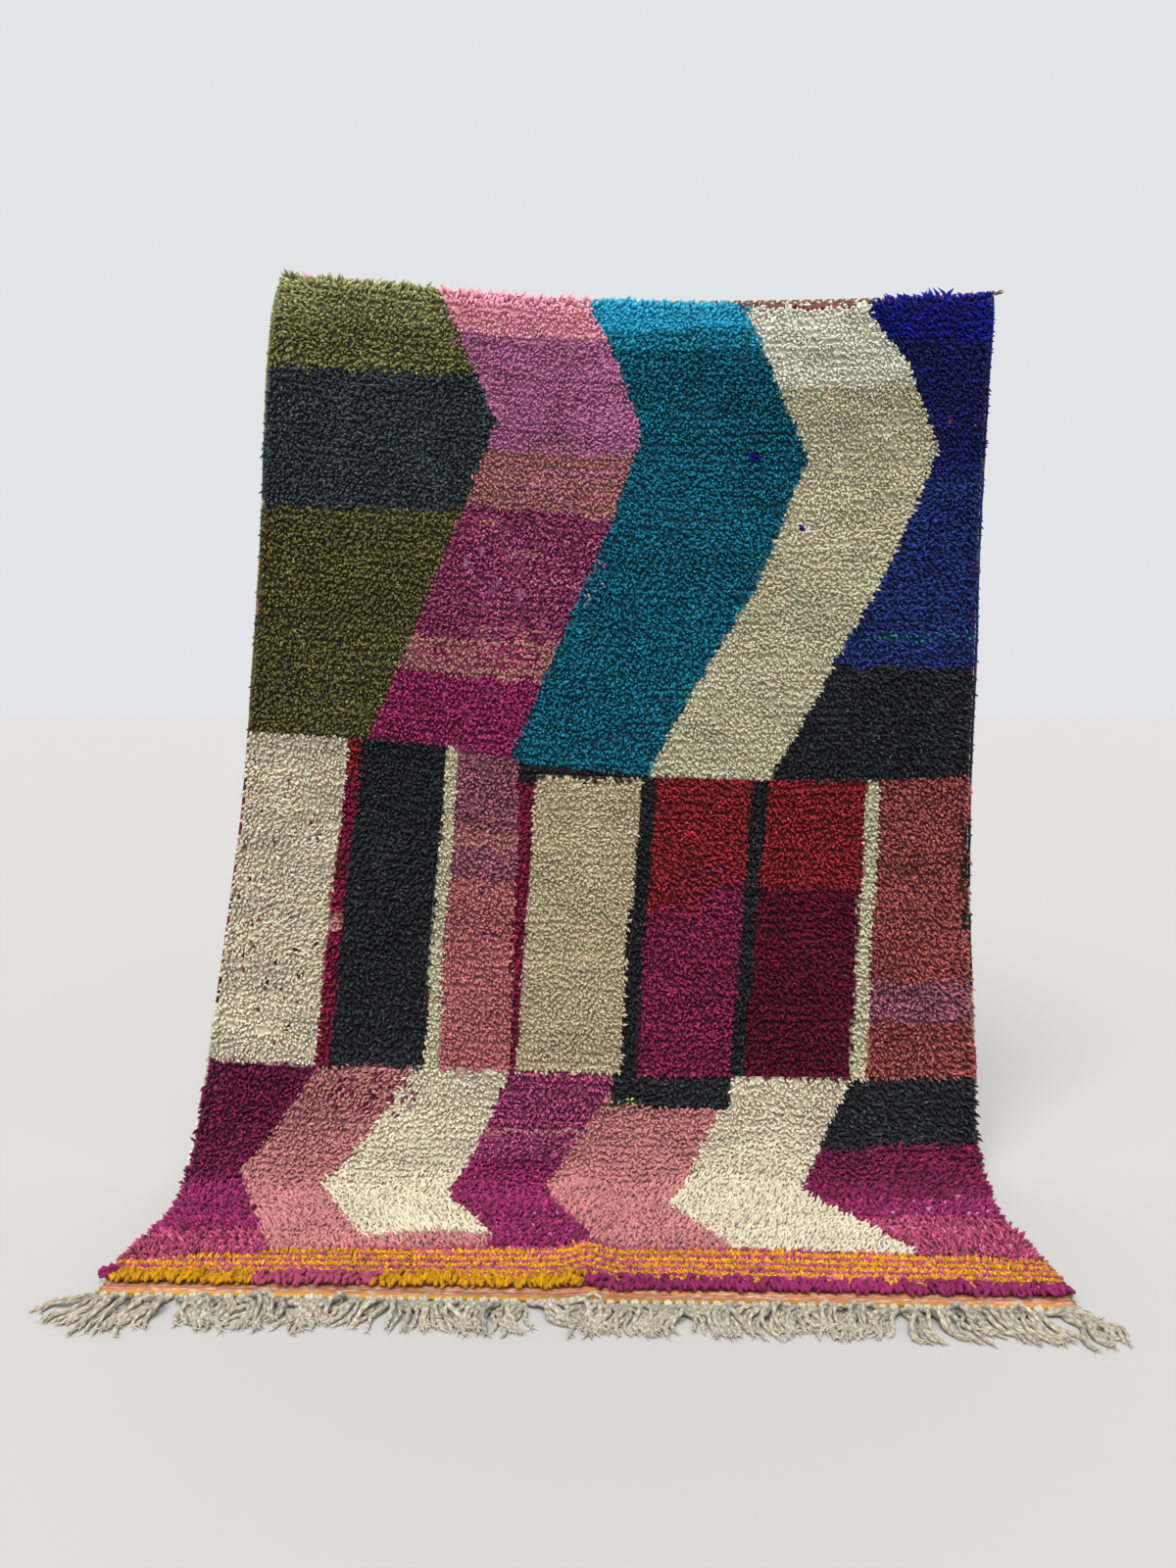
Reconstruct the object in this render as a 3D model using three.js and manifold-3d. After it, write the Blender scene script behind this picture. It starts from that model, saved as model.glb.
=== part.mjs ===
// A hand-knotted Boujaad wool rug, held by its top edge, with its front end lying on the floor.
// Millimetres, +Z up. The pile faces -Y, the woven back faces +Y.
import * as THREE from 'three';
import Module from 'manifold-3d';

// Driving sizes of the cloth
const groundThickness = 7;        // warps, wefts and the knots' feet
const pileThickness = 14;         // the tufts above the ground
const bandThickness = 4.5;        // flat-woven end band
const rowDrop = 40;               // how much nearer the floor a weft row is at its right end than at its left
const pileLump = 3;               // unevenness of the pile's face
const pileInset = 9;              // how far the top of the pile draws in from the cloth's edge
const columnCount = 24;           // strips across the width

// Rim of the pile: tufts that lean out past the edge
const rimLockCount = 3;           // tufts along one strip of the rim
const rimLockReach = 8;
const rimHollowReach = 2.5;
const rimLockLift = 12.5;
const rimWallLift = 7.4;

// Ridge left by folding the rug lengthwise
const creaseHalfWidth = 26;
const creaseFloorHeight = 11;
const creaseHungHeight = 4;

// Overcast side edges and the cord at the top end
const seat = 0.3;                 // gap between pieces that touch
const selvedgeSize = 6.4;
const topCordSize = 7;
const topCordTip = 26;            // the loose end past the right corner

// Warp-end fringe
const fringeStripDepth = 8;
const fringeStripHeight = 7;
const strandsPerClump = 3;
const clumpCount = 42;
const strandLength = 84;
const strandWidth = 6;
const strandHeight = 5.5;
const strandTipShare = 0.7;       // tip size as a share of the root
const fringeSway = 0.25;          // radians, from clump to clump
const fringeSplay = 0.8;          // radians, at the two corners
const clumpClosing = 0.08;        // radians, the outer strands of a clump towards its middle

// The cloth seen from the side, from the front end to the top: each stretch turns evenly
// to its end tilt, which is 0 on the floor and 90 where the cloth hangs plumb.
const stretches = [
  { part: 'end band', length: 24, endTilt: 0, rows: 1 },
  { part: 'pile edge', length: 9, endTilt: 0, rows: 1 },
  { part: 'floor run', length: 270, endTilt: 0, rows: 7 },
  { part: 'heel', length: 175, endTilt: 70, rows: 7 },
  { part: 'lowest fall', length: 130, endTilt: 77, rows: 3 },
  { part: 'low fall', length: 260, endTilt: 82, rows: 6 },
  { part: 'middle fall', length: 500, endTilt: 87, rows: 10 },
  { part: 'high fall', length: 502, endTilt: 89, rows: 10 },
  { part: 'rolled top', length: 65, endTilt: 60, rows: 3 },
];

// The cloth seen from the front: the middle of the row, its width, and how far its middle
// sags below its two ends, at some distances from the front end.
const rowShapes = [
  { at: 0, middle: -8, width: 1284, sag: 0 },
  { at: 80, middle: -7, width: 1286, sag: 1 },
  { at: 200, middle: -5, width: 1260, sag: 3 },
  { at: 270, middle: -7, width: 1260, sag: 6 },
  { at: 330, middle: -7, width: 1279, sag: 9 },
  { at: 410, middle: -5, width: 1291, sag: 11 },
  { at: 570, middle: 7, width: 1294, sag: 13 },
  { at: 810, middle: 20, width: 1283, sag: 16 },
  { at: 980, middle: 32, width: 1277, sag: 18 },
  { at: 1290, middle: 50, width: 1282, sag: 22 },
  { at: 1460, middle: 58, width: 1281, sag: 26 },
  { at: 1740, middle: 71, width: 1292, sag: 33 },
  { at: 1860, middle: 80, width: 1292, sag: 36 },
  { at: 1937, middle: 88, width: 1286, sag: 38 },
];

// Soft swells of the hanging cloth, towards the front where the depth is positive
const swells = [
  { across: -430, at: 1560, spanAcross: 190, spanAlong: 330, depth: 7 },
  { across: -60, at: 1720, spanAcross: 170, spanAlong: 260, depth: -8 },
  { across: 330, at: 1500, spanAcross: 150, spanAlong: 420, depth: 6 },
  { across: 610, at: 1080, spanAcross: 110, spanAlong: 240, depth: -9 },
  { across: -600, at: 860, spanAcross: 120, spanAlong: 260, depth: -6 },
  { across: 120, at: 930, spanAcross: 210, spanAlong: 220, depth: 5 },
];

const clothLength = stretches.reduce((total, stretch) => total + stretch.length, 0);
const bandLength = stretches[0].length;
const pileEdgeLength = stretches[1].length;
const fullThickness = groundThickness + pileThickness;
const profileStep = 5;

// Between two values, and exactly the value where both are the same
function mix(a, b, share) {
  return a + (b - a) * share;
}

// Even random numbers from 0 to 1, the same in each run
function makeRandom(seed) {
  let state = seed;
  return () => {
    state = (state * 1664525 + 1013904223) % 4294967296;
    return state / 4294967296;
  };
}

// The side view as points a few millimetres apart
function traceProfile() {
  const points = [{ along: 0, y: 0, z: 0, tilt: 0 }];
  let startTilt = 0;
  for (const stretch of stretches) {
    const steps = Math.ceil(stretch.length / profileStep);
    const step = stretch.length / steps;
    for (let k = 0; k < steps; k += 1) {
      const last = points[points.length - 1];
      const middleTilt = THREE.MathUtils.degToRad(
        mix(startTilt, stretch.endTilt, (k + 0.5) / steps));
      const endTilt = THREE.MathUtils.degToRad(
        mix(startTilt, stretch.endTilt, (k + 1) / steps));
      points.push({
        along: last.along + step,
        y: last.y + Math.cos(middleTilt) * step,
        z: last.z + Math.sin(middleTilt) * step,
        tilt: endTilt,
      });
    }
    startTilt = stretch.endTilt;
  }
  return points;
}

const profile = traceProfile();

// A place on the side view; past either end it goes straight on
function profileAt(along) {
  const first = profile[0];
  const last = profile[profile.length - 1];
  if (along <= first.along) return { y: first.y + along, z: 0, tilt: 0 };
  if (along >= last.along) {
    const past = along - last.along;
    return { y: last.y + Math.cos(last.tilt) * past, z: last.z + Math.sin(last.tilt) * past, tilt: last.tilt };
  }
  const next = profile.findIndex((point) => point.along > along);
  const a = profile[next - 1];
  const b = profile[next];
  const share = (along - a.along) / (b.along - a.along);
  return {
    y: mix(a.y, b.y, share),
    z: mix(a.z, b.z, share),
    tilt: mix(a.tilt, b.tilt, share),
  };
}

// A smooth curve through one column of the row shapes
function rowShapeAt(column, along) {
  const last = rowShapes.length - 1;
  const at = THREE.MathUtils.clamp(along, rowShapes[0].at, rowShapes[last].at);
  const k = Math.min(rowShapes.findLastIndex((row) => row.at <= at), last - 1);
  const slope = (n) => {
    const low = rowShapes[Math.max(n - 1, 0)];
    const high = rowShapes[Math.min(n + 1, last)];
    return (high[column] - low[column]) / (high.at - low.at);
  };
  const a = rowShapes[k];
  const b = rowShapes[k + 1];
  const span = b.at - a.at;
  const t = (at - a.at) / span;
  return a[column] * (1 + 2 * t) * (1 - t) ** 2 + slope(k) * span * t * (1 - t) ** 2
    + b[column] * t * t * (3 - 2 * t) + slope(k + 1) * span * t * t * (t - 1);
}

// Where the lengthwise ridge runs, as a share of the half width
function creaseShare(along) {
  return 0.015 - 0.065 * along / clothLength;
}

// How far the whole cloth stands out from its plain side view
function swellAt(x, along, across) {
  const hung = THREE.MathUtils.smoothstep(along, 330, 560);
  let depth = 0;
  for (const swell of swells) {
    const a = (x - swell.across) / swell.spanAcross;
    const b = (along - swell.at) / swell.spanAlong;
    depth += swell.depth * Math.exp(-a * a - b * b);
  }
  const ridge = (across - creaseShare(along)) * rowShapeAt('width', along) / 2 / creaseHalfWidth;
  const ridgeHeight = mix(creaseFloorHeight, creaseHungHeight, hung);
  return depth * hung + ridgeHeight * Math.exp(-ridge * ridge) * THREE.MathUtils.smoothstep(along, 0, 70);
}

// A point of the cloth: across runs from -1 at the left edge to 1 at the right, along from the
// front end, lift above the back, aside and beyond past the side and end edges.
function clothPoint(across, along, lift, aside = 0, beyond = 0) {
  const x = rowShapeAt('middle', along) + across * rowShapeAt('width', along) / 2 + aside;
  const lower = rowDrop * across / 2 + rowShapeAt('sag', along) * (1 - across * across);
  const spot = profileAt(along - lower + beyond);
  const height = lift + swellAt(x, along, across);
  return new THREE.Vector3(x, spot.y - Math.sin(spot.tilt) * height, spot.z + Math.cos(spot.tilt) * height);
}

// Points and triangles of one closed shell
class Shell {
  constructor() {
    this.points = [];
    this.faces = [];
  }

  add(point) {
    this.points.push(point);
    return this.points.length - 1;
  }

  quad(a, b, c, d) {
    this.faces.push([a, b, c], [a, c, d]);
  }

  // Joins two lines of points that run the same way, the upper one to the left of the lower
  stitch(lower, upper) {
    let i = 0;
    let j = 0;
    while (i < lower.length - 1 || j < upper.length - 1) {
      const nextLower = (i + 1) / (lower.length - 1);
      const nextUpper = (j + 1) / (upper.length - 1);
      if (j === upper.length - 1 || (i < lower.length - 1 && nextLower <= nextUpper)) {
        this.faces.push([lower[i], lower[i + 1], upper[j]]);
        i += 1;
      } else {
        this.faces.push([lower[i], upper[j + 1], upper[j]]);
        j += 1;
      }
    }
  }

  geometry() {
    const geometry = new THREE.BufferGeometry();
    const positions = this.points.flatMap((point) => point.toArray());
    geometry.setAttribute('position', new THREE.Float32BufferAttribute(positions, 3));
    geometry.setIndex(this.faces.flat());
    geometry.computeVertexNormals();
    return geometry;
  }
}

// A closed body through a row of rings, each turning the same way about the route
function loft(rings) {
  const shell = new Shell();
  const sides = rings[0].length;
  const loops = rings.map((ring) => ring.map((point) => shell.add(point)));
  for (let k = 0; k < loops.length - 1; k += 1) {
    for (let side = 0; side < sides; side += 1) {
      const next = (side + 1) % sides;
      shell.quad(loops[k][side], loops[k][next], loops[k + 1][next], loops[k + 1][side]);
    }
  }
  const first = loops[0];
  const last = loops[loops.length - 1];
  for (let side = 1; side < sides - 1; side += 1) {
    shell.faces.push([first[0], first[side + 1], first[side]]);
    shell.faces.push([last[0], last[side], last[side + 1]]);
  }
  return shell.geometry();
}

// Distances of the rows of points from the front end
function rowStations() {
  const stations = [0];
  for (const stretch of stretches) {
    const start = stations[stations.length - 1];
    for (let k = 1; k <= stretch.rows; k += 1) {
      stations.push(start + stretch.length * k / stretch.rows);
    }
  }
  return stations;
}

// Columns of points, evenly spaced but for two more beside the ridge
function columnStations() {
  const stations = [];
  for (let k = 0; k <= columnCount; k += 1) {
    stations.push(-1 + 2 * k / columnCount);
  }
  const beside = 0.042;
  stations.push(-beside, beside);
  return stations.sort((a, b) => a - b);
}

const rows = rowStations();
const columns = columnStations();

// The knotted cloth: woven end band, and a lumpy slab of pile with tufts leaning out at its rim
function makePile() {
  const shell = new Shell();
  const random = makeRandom(11);
  const lastColumn = columns.length - 1;
  const lastRow = rows.length - 1;

  function acrossAt(column, along) {
    return column + creaseShare(along) * (1 - Math.abs(column));
  }

  function faceLift(along) {
    const pile = THREE.MathUtils.smoothstep(along, bandLength - 1, bandLength + pileEdgeLength);
    return mix(bandThickness, fullThickness, pile);
  }

  const back = columns.map((column) => rows.map((along) => (
    shell.add(clothPoint(acrossAt(column, along), along, 0)))));
  const face = columns.map((column) => rows.map((along, j) => {
    const onPile = along > bandLength;
    const lump = onPile ? pileLump * (2 * random() - 1) : 0;
    const inset = onPile ? pileInset * Math.abs(column) ** 20 : 0;
    const fromTop = j === lastRow ? pileInset : 0;
    const lift = faceLift(along) + lump - (j === lastRow ? pileThickness / 4 : 0);
    const aside = -Math.sign(column) * inset;
    return shell.add(clothPoint(acrossAt(column, along), along, lift, aside, -fromTop));
  }));
  for (let i = 0; i < lastColumn; i += 1) {
    for (let j = 0; j < lastRow; j += 1) {
      shell.quad(face[i][j], face[i + 1][j], face[i + 1][j + 1], face[i][j + 1]);
      shell.quad(back[i][j], back[i][j + 1], back[i + 1][j + 1], back[i + 1][j]);
    }
  }

  // The rim, once round: front end, right side, top end, left side
  const round = [];
  for (let i = 0; i < lastColumn; i += 1) round.push([i, 0]);
  for (let j = 0; j < lastRow; j += 1) round.push([lastColumn, j]);
  for (let i = lastColumn; i > 0; i -= 1) round.push([i, lastRow]);
  for (let j = lastRow; j > 0; j -= 1) round.push([0, j]);

  function rimPoint(i, j, lift, reach) {
    const column = mix(columns[Math.floor(i)], columns[Math.ceil(i)], i % 1);
    const along = mix(rows[Math.floor(j)], rows[Math.ceil(j)], j % 1);
    const pileStart = bandLength + pileEdgeLength;
    const sideReach = reach * THREE.MathUtils.smoothstep(along, pileStart, pileStart + 2 * pileEdgeLength);
    const aside = Math.abs(column) === 1 ? Math.sign(column) * sideReach : 0;
    const beyond = j === lastRow ? reach : 0;
    const share = lift / fullThickness;
    return shell.add(clothPoint(acrossAt(column, along), along, share * faceLift(along), aside, beyond));
  }

  const walls = round.map(([i, j]) => rimPoint(i, j, rimWallLift, 0));
  const hollows = round.map(([i, j]) => rimPoint(i, j, rimLockLift, rimHollowReach));
  round.forEach(([i, j], k) => {
    const n = (k + 1) % round.length;
    const [nextI, nextJ] = round[n];
    const locks = [hollows[k]];
    const steps = j === 0 && nextJ === 0 ? 1 : 2 * rimLockCount;
    for (let step = 1; step < steps; step += 1) {
      const isTip = step % 2 === 1;
      const reach = isTip ? rimLockReach * (0.7 + 0.3 * random()) : rimHollowReach;
      const lift = rimLockLift + (isTip ? 2 * random() : 0);
      const share = step / steps;
      locks.push(rimPoint(
        mix(i, nextI, share), mix(j, nextJ, share), lift, reach));
    }
    locks.push(hollows[n]);
    shell.stitch([back[i][j], back[nextI][nextJ]], [walls[k], walls[n]]);
    shell.stitch([walls[k], walls[n]], locks);
    shell.stitch(locks, [face[i][j], face[nextI][nextJ]]);
  });
  return shell.geometry();
}

// Six points of a rounded edge piece of the given size, as distances out from the edge and lifts
function edgeSection(size) {
  return [
    { out: 0, lift: size * 0.5 },
    { out: size * 0.25, lift: 0 },
    { out: size * 0.75, lift: 0 },
    { out: size, lift: size * 0.5 },
    { out: size * 0.75, lift: size },
    { out: size * 0.25, lift: size },
  ];
}

// The yarn-covered cord along a side edge; side is -1 on the left and 1 on the right
function makeSelvedge(side) {
  const startGap = 2;
  const endGap = 1;
  const stations = rows.map((along) => THREE.MathUtils.clamp(along, startGap, clothLength - endGap));
  const rings = stations.map((along) => {
    const ring = edgeSection(selvedgeSize).map(({ out, lift }) => (
      clothPoint(side, along, lift, side * (seat + out))));
    return side < 0 ? ring : ring.reverse();
  });
  return loft(rings);
}

// The braided cord along the top end, with its loose end past the right corner
function makeTopCord() {
  const rings = columns.map((across) => edgeSection(topCordSize).map(({ out, lift }) => (
    clothPoint(across, clothLength, lift, 0, seat + out))));
  const tip = [
    { aside: 0.35, rise: 2, share: 1 },
    { aside: 0.7, rise: 5, share: 0.9 },
    { aside: 1, rise: 6, share: 0.5 },
  ];
  for (const { aside, rise, share } of tip) {
    rings.push(edgeSection(topCordSize * share).map(({ out, lift }) => (
      clothPoint(1, clothLength, lift, topCordTip * aside, seat + rise + out))));
  }
  return loft(rings);
}

// One warp end lying on the floor, from inside the knotted strip to its tip
function makeStrand(across, length, turn) {
  const root = clothPoint(across, 0, 0, 0, -seat - fringeStripDepth / 2);
  const stops = [0, 0.45, 1];
  const spot = root.clone();
  let reached = 0;
  const rings = stops.map((stop) => {
    const angle = turn * Math.min(1, 0.35 + stop);
    const step = (stop - reached) * length;
    spot.x += Math.sin(angle) * step;
    spot.y -= Math.cos(angle) * step;
    reached = stop;
    const size = mix(1, strandTipShare, stop);
    const half = new THREE.Vector3(Math.cos(angle), Math.sin(angle), 0).multiplyScalar(size * strandWidth / 2);
    const top = spot.clone();
    top.z = size * strandHeight;
    return [spot.clone().add(half), top, spot.clone().sub(half)];
  });
  return loft(rings);
}

// The strip of knots that the strands hang from: one ridge for each clump
function makeKnotStrip() {
  const rings = [];
  for (let k = 0; k <= 2 * clumpCount; k += 1) {
    const isKnot = k % 2 === 1;
    const depth = fringeStripDepth * (isKnot ? 1 : 0.75);
    const height = fringeStripHeight * (isKnot ? 1.15 : 0.8);
    const across = -1 + k / clumpCount;
    rings.push([
      clothPoint(across, 0, 0, 0, -seat - depth),
      clothPoint(across, 0, 0, 0, -seat),
      clothPoint(across, 0, height, 0, -seat),
      clothPoint(across, 0, height, 0, -seat - depth * 0.6),
      clothPoint(across, 0, height * 0.5, 0, -seat - depth),
    ]);
  }
  return loft(rings);
}

const wasm = await Module();
wasm.setup();

function toManifold(geometry) {
  const vertProperties = new Float32Array(geometry.getAttribute('position').array);
  const triVerts = new Uint32Array(geometry.getIndex().array);
  return new wasm.Manifold(new wasm.Mesh({ numProp: 3, vertProperties, triVerts }));
}

function fromManifold(solid) {
  const mesh = solid.getMesh();
  const geometry = new THREE.BufferGeometry();
  geometry.setAttribute('position', new THREE.BufferAttribute(mesh.vertProperties, 3));
  geometry.setIndex(new THREE.BufferAttribute(mesh.triVerts, 1));
  geometry.computeVertexNormals();
  return geometry;
}

// The fringe: clumps of warp ends fused at their roots to the knotted strip
function makeFringe() {
  const random = makeRandom(5);
  let fringe = toManifold(makeKnotStrip());
  const clumpPitch = 2 / clumpCount;
  for (let clump = 0; clump < clumpCount; clump += 1) {
    const middle = -1 + (clump + 0.5) * clumpPitch;
    const sway = fringeSway * Math.sin(clump * 0.61) + fringeSplay * middle ** 5;
    const clumpLength = strandLength * (0.84 + 0.16 * random());
    for (let k = 0; k < strandsPerClump; k += 1) {
      const offset = (k - (strandsPerClump - 1) / 2) / strandsPerClump;
      const across = middle + offset * clumpPitch * 0.86;
      const length = clumpLength * (0.93 + 0.07 * random());
      fringe = fringe.add(toManifold(makeStrand(across, length, sway - offset * clumpClosing)));
    }
  }
  return fromManifold(fringe);
}

const pileWool = new THREE.MeshStandardMaterial({ color: 0x8c3350, roughness: 0.95, metalness: 0 });
const selvedgeWool = new THREE.MeshStandardMaterial({ color: 0x6e3a4c, roughness: 0.9, metalness: 0 });
const cordWool = new THREE.MeshStandardMaterial({ color: 0x8a6f55, roughness: 0.9, metalness: 0 });
const warpWool = new THREE.MeshStandardMaterial({ color: 0xb9a98c, roughness: 0.95, metalness: 0 });

const pieces = [
  { name: 'pile_cloth', geometry: makePile(), material: pileWool },
  { name: 'selvedge_left', geometry: makeSelvedge(-1), material: selvedgeWool },
  { name: 'selvedge_right', geometry: makeSelvedge(1), material: selvedgeWool },
  { name: 'top_cord', geometry: makeTopCord(), material: cordWool },
  { name: 'warp_fringe', geometry: makeFringe(), material: warpWool },
];

const group = new THREE.Group();
for (const piece of pieces) {
  const mesh = new THREE.Mesh(piece.geometry, piece.material);
  mesh.name = piece.name;
  group.add(mesh);
}

// The origin is the middle of the floor area that the whole rug covers
const box = new THREE.Box3().setFromObject(group);
const centre = box.getCenter(new THREE.Vector3());
group.position.set(-centre.x, -centre.y, 0);

export default group;
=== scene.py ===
# A hand-knotted Boujaad rug, hung by its top edge with its front end on the floor. Metres.
import math
import bpy
import numpy as np
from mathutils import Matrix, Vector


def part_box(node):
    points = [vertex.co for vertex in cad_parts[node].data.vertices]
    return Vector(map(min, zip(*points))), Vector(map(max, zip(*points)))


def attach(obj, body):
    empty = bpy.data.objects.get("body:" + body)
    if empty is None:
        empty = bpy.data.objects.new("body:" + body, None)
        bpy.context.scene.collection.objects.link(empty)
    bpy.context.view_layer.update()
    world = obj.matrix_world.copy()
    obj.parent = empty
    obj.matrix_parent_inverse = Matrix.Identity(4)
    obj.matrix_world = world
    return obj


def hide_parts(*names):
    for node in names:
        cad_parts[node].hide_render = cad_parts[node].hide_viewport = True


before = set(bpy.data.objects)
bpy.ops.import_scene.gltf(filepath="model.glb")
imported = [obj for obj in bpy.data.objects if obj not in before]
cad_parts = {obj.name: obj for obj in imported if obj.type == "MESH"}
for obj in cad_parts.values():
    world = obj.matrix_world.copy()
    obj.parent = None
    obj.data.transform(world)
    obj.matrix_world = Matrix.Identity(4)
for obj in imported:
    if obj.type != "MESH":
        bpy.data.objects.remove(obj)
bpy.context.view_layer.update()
random = np.random.default_rng(1927)
print("frame loaded")

# The hanging cloth, as in the solids: side view, front view and soft swells
cloth = {
    "place": (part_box("top_cord")[1].x - 0.757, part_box("pile_cloth")[0].y + 0.020),
    "rowDrop": 0.040,
    "edgeThickness": 0.0065,
    "creaseHalfWidth": 0.026,
    "creaseHeights": (0.011, 0.004),
    "creaseShares": (0.015, -0.050),     # where the crease runs, at the front end and at the top
    "creaseStart": 0.070,
    "swellsFrom": (0.330, 0.560),        # the swells set in between these distances
    "profileStep": 0.005,
    # length of each stretch from the front end to the top, and the tilt at its end
    "stretches": [
        (0.024, 0),
        (0.009, 0),
        (0.270, 0),
        (0.175, 70),
        (0.130, 77),
        (0.260, 82),
        (0.500, 87),
        (0.502, 89),
        (0.065, 60),
    ],
    # distance from the front end, middle of the row, its width, sag of its middle
    "rowShapes": np.array([
        (0.000, -0.008, 1.284, 0.000),
        (0.080, -0.007, 1.286, 0.001),
        (0.200, -0.005, 1.260, 0.003),
        (0.270, -0.007, 1.260, 0.006),
        (0.330, -0.007, 1.279, 0.009),
        (0.410, -0.005, 1.291, 0.011),
        (0.570, 0.007, 1.294, 0.013),
        (0.810, 0.020, 1.283, 0.016),
        (0.980, 0.032, 1.277, 0.018),
        (1.290, 0.050, 1.282, 0.022),
        (1.460, 0.058, 1.281, 0.026),
        (1.740, 0.071, 1.292, 0.033),
        (1.860, 0.080, 1.292, 0.036),
        (1.937, 0.088, 1.286, 0.038),
    ]),
    # across, distance from the front end, span across, span along, depth
    "swells": [
        (-0.430, 1.560, 0.190, 0.330, 0.007),
        (-0.060, 1.720, 0.170, 0.260, -0.008),
        (0.330, 1.500, 0.150, 0.420, 0.006),
        (0.610, 1.080, 0.110, 0.240, -0.009),
        (-0.600, 0.860, 0.120, 0.260, -0.006),
        (0.120, 0.930, 0.210, 0.220, 0.005),
    ],
}
clothLength = sum(length for length, tilt in cloth["stretches"])


def smoothStep(value, low, high):
    t = np.clip((value - low) / (high - low), 0, 1)
    return t * t * (3 - 2 * t)


def traceSideView():
    points = [(0.0, 0.0, 0.0, 0.0)]
    startTilt = 0.0
    for length, endDegrees in cloth["stretches"]:
        endTilt = math.radians(endDegrees)
        steps = math.ceil(length / cloth["profileStep"])
        for k in range(steps):
            along, y, z, _ = points[-1]
            tilt = startTilt + (endTilt - startTilt) * (k + 0.5) / steps
            nextTilt = startTilt + (endTilt - startTilt) * (k + 1) / steps
            step = length / steps
            points.append((along + step, y + math.cos(tilt) * step, z + math.sin(tilt) * step, nextTilt))
        startTilt = endTilt
    return np.array(points).T


sideView = traceSideView()


def sideAt(along):
    inside = np.clip(along, 0, clothLength)
    past = along - inside
    tilt = np.interp(inside, sideView[0], sideView[3])
    y = np.interp(inside, sideView[0], sideView[1]) + np.cos(tilt) * past
    z = np.interp(inside, sideView[0], sideView[2]) + np.sin(tilt) * past
    return y, z, tilt


# A smooth curve through one column of the row shapes
def rowShapeAt(name, along):
    at = cloth["rowShapes"][:, 0]
    values = cloth["rowShapes"][:, ("at", "middle", "width", "sag").index(name)]
    last = len(at) - 1
    before = np.maximum(np.arange(last + 1) - 1, 0)
    after = np.minimum(np.arange(last + 1) + 1, last)
    slopes = (values[after] - values[before]) / (at[after] - at[before])
    place = np.clip(along, at[0], at[-1])
    k = np.clip(np.searchsorted(at, place, side="right") - 1, 0, last - 1)
    span = at[k + 1] - at[k]
    t = (place - at[k]) / span
    low = values[k] * (1 + 2 * t) * (1 - t) ** 2 + slopes[k] * span * t * (1 - t) ** 2
    high = values[k + 1] * t * t * (3 - 2 * t) + slopes[k + 1] * span * t * t * (t - 1)
    return low + high


def halfWidthAt(along):
    return rowShapeAt("width", along) / 2


def swellAt(x, along, share):
    hung = smoothStep(along, *cloth["swellsFrom"])
    depth = 0
    for across, at, spanAcross, spanAlong, height in cloth["swells"]:
        depth = depth + height * np.exp(-((x - across) / spanAcross) ** 2 - ((along - at) / spanAlong) ** 2)
    lowShare, highShare = cloth["creaseShares"]
    creaseShare = lowShare + (highShare - lowShare) * along / clothLength
    ridge = (share - creaseShare) * halfWidthAt(along) / cloth["creaseHalfWidth"]
    onFloor, onFall = cloth["creaseHeights"]
    height = onFloor + (onFall - onFloor) * hung
    return depth * hung + height * np.exp(-ridge ** 2) * smoothStep(along, 0, cloth["creaseStart"])


# How far a row lies below its two ends' mean place: it slopes to the right and sags in the middle
def rowLower(share, along):
    return cloth["rowDrop"] * share / 2 + rowShapeAt("sag", along) * (1 - share * share)


# A point of the cloth: share is -1 at the left edge and 1 at the right, along is the distance
# from the front end, lift the height above the woven back, aside and beyond go past the edges
def clothPoint(share, along, lift, aside=0.0, beyond=0.0):
    share, along, lift, aside, beyond = np.broadcast_arrays(share, along, lift, aside, beyond)
    x = rowShapeAt("middle", along) + share * halfWidthAt(along) + aside
    y, z, tilt = sideAt(along - rowLower(share, along) + beyond)
    height = lift + swellAt(x, along, share)
    placeX, placeY = cloth["place"]
    return np.stack([x + placeX, y + placeY - np.sin(tilt) * height, z + np.cos(tilt) * height], -1)


# Directions at a point of the cloth: out of the pile, and up along the cloth
def clothAxes(share, along):
    tilt = sideAt(along - rowLower(share, along))[2]
    zero = np.zeros_like(tilt)
    out = np.stack([zero, -np.sin(tilt), np.cos(tilt)], -1)
    return out, np.stack([zero, np.cos(tilt), np.sin(tilt)], -1)


# Soft random numbers from -1 to 1 over a plane, with patches of the given size
def softNoise(x, y, sizeX, sizeY, seed):
    cells = 97
    table = np.random.default_rng(seed).uniform(-1, 1, (cells, cells))
    a, b = x / sizeX + 41.3, y / sizeY + 17.7       # starts inside the table, off its grid
    i, j = np.floor(a).astype(int), np.floor(b).astype(int)
    s, t = smoothStep(a - i, 0, 1), smoothStep(b - j, 0, 1)
    i, j, i1, j1 = i % cells, j % cells, (i + 1) % cells, (j + 1) % cells
    low = table[i, j] * (1 - s) + table[i1, j] * s
    high = table[i, j1] * (1 - s) + table[i1, j1] * s
    return low * (1 - t) + high * t


def lineNoise(x, size, seed):
    return softNoise(x, x * 0, size, 1, seed)


# Layers of soft noise: height, patch size across and along, seed
def layeredNoise(across, along, layers):
    return sum(height * softNoise(across, along, *patch) for height, *patch in layers)


# Random sizes about 1, for things that are alike but never the same
def varied(count, spread, low, high):
    return np.clip(random.normal(1, spread, count), low, high)


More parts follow.
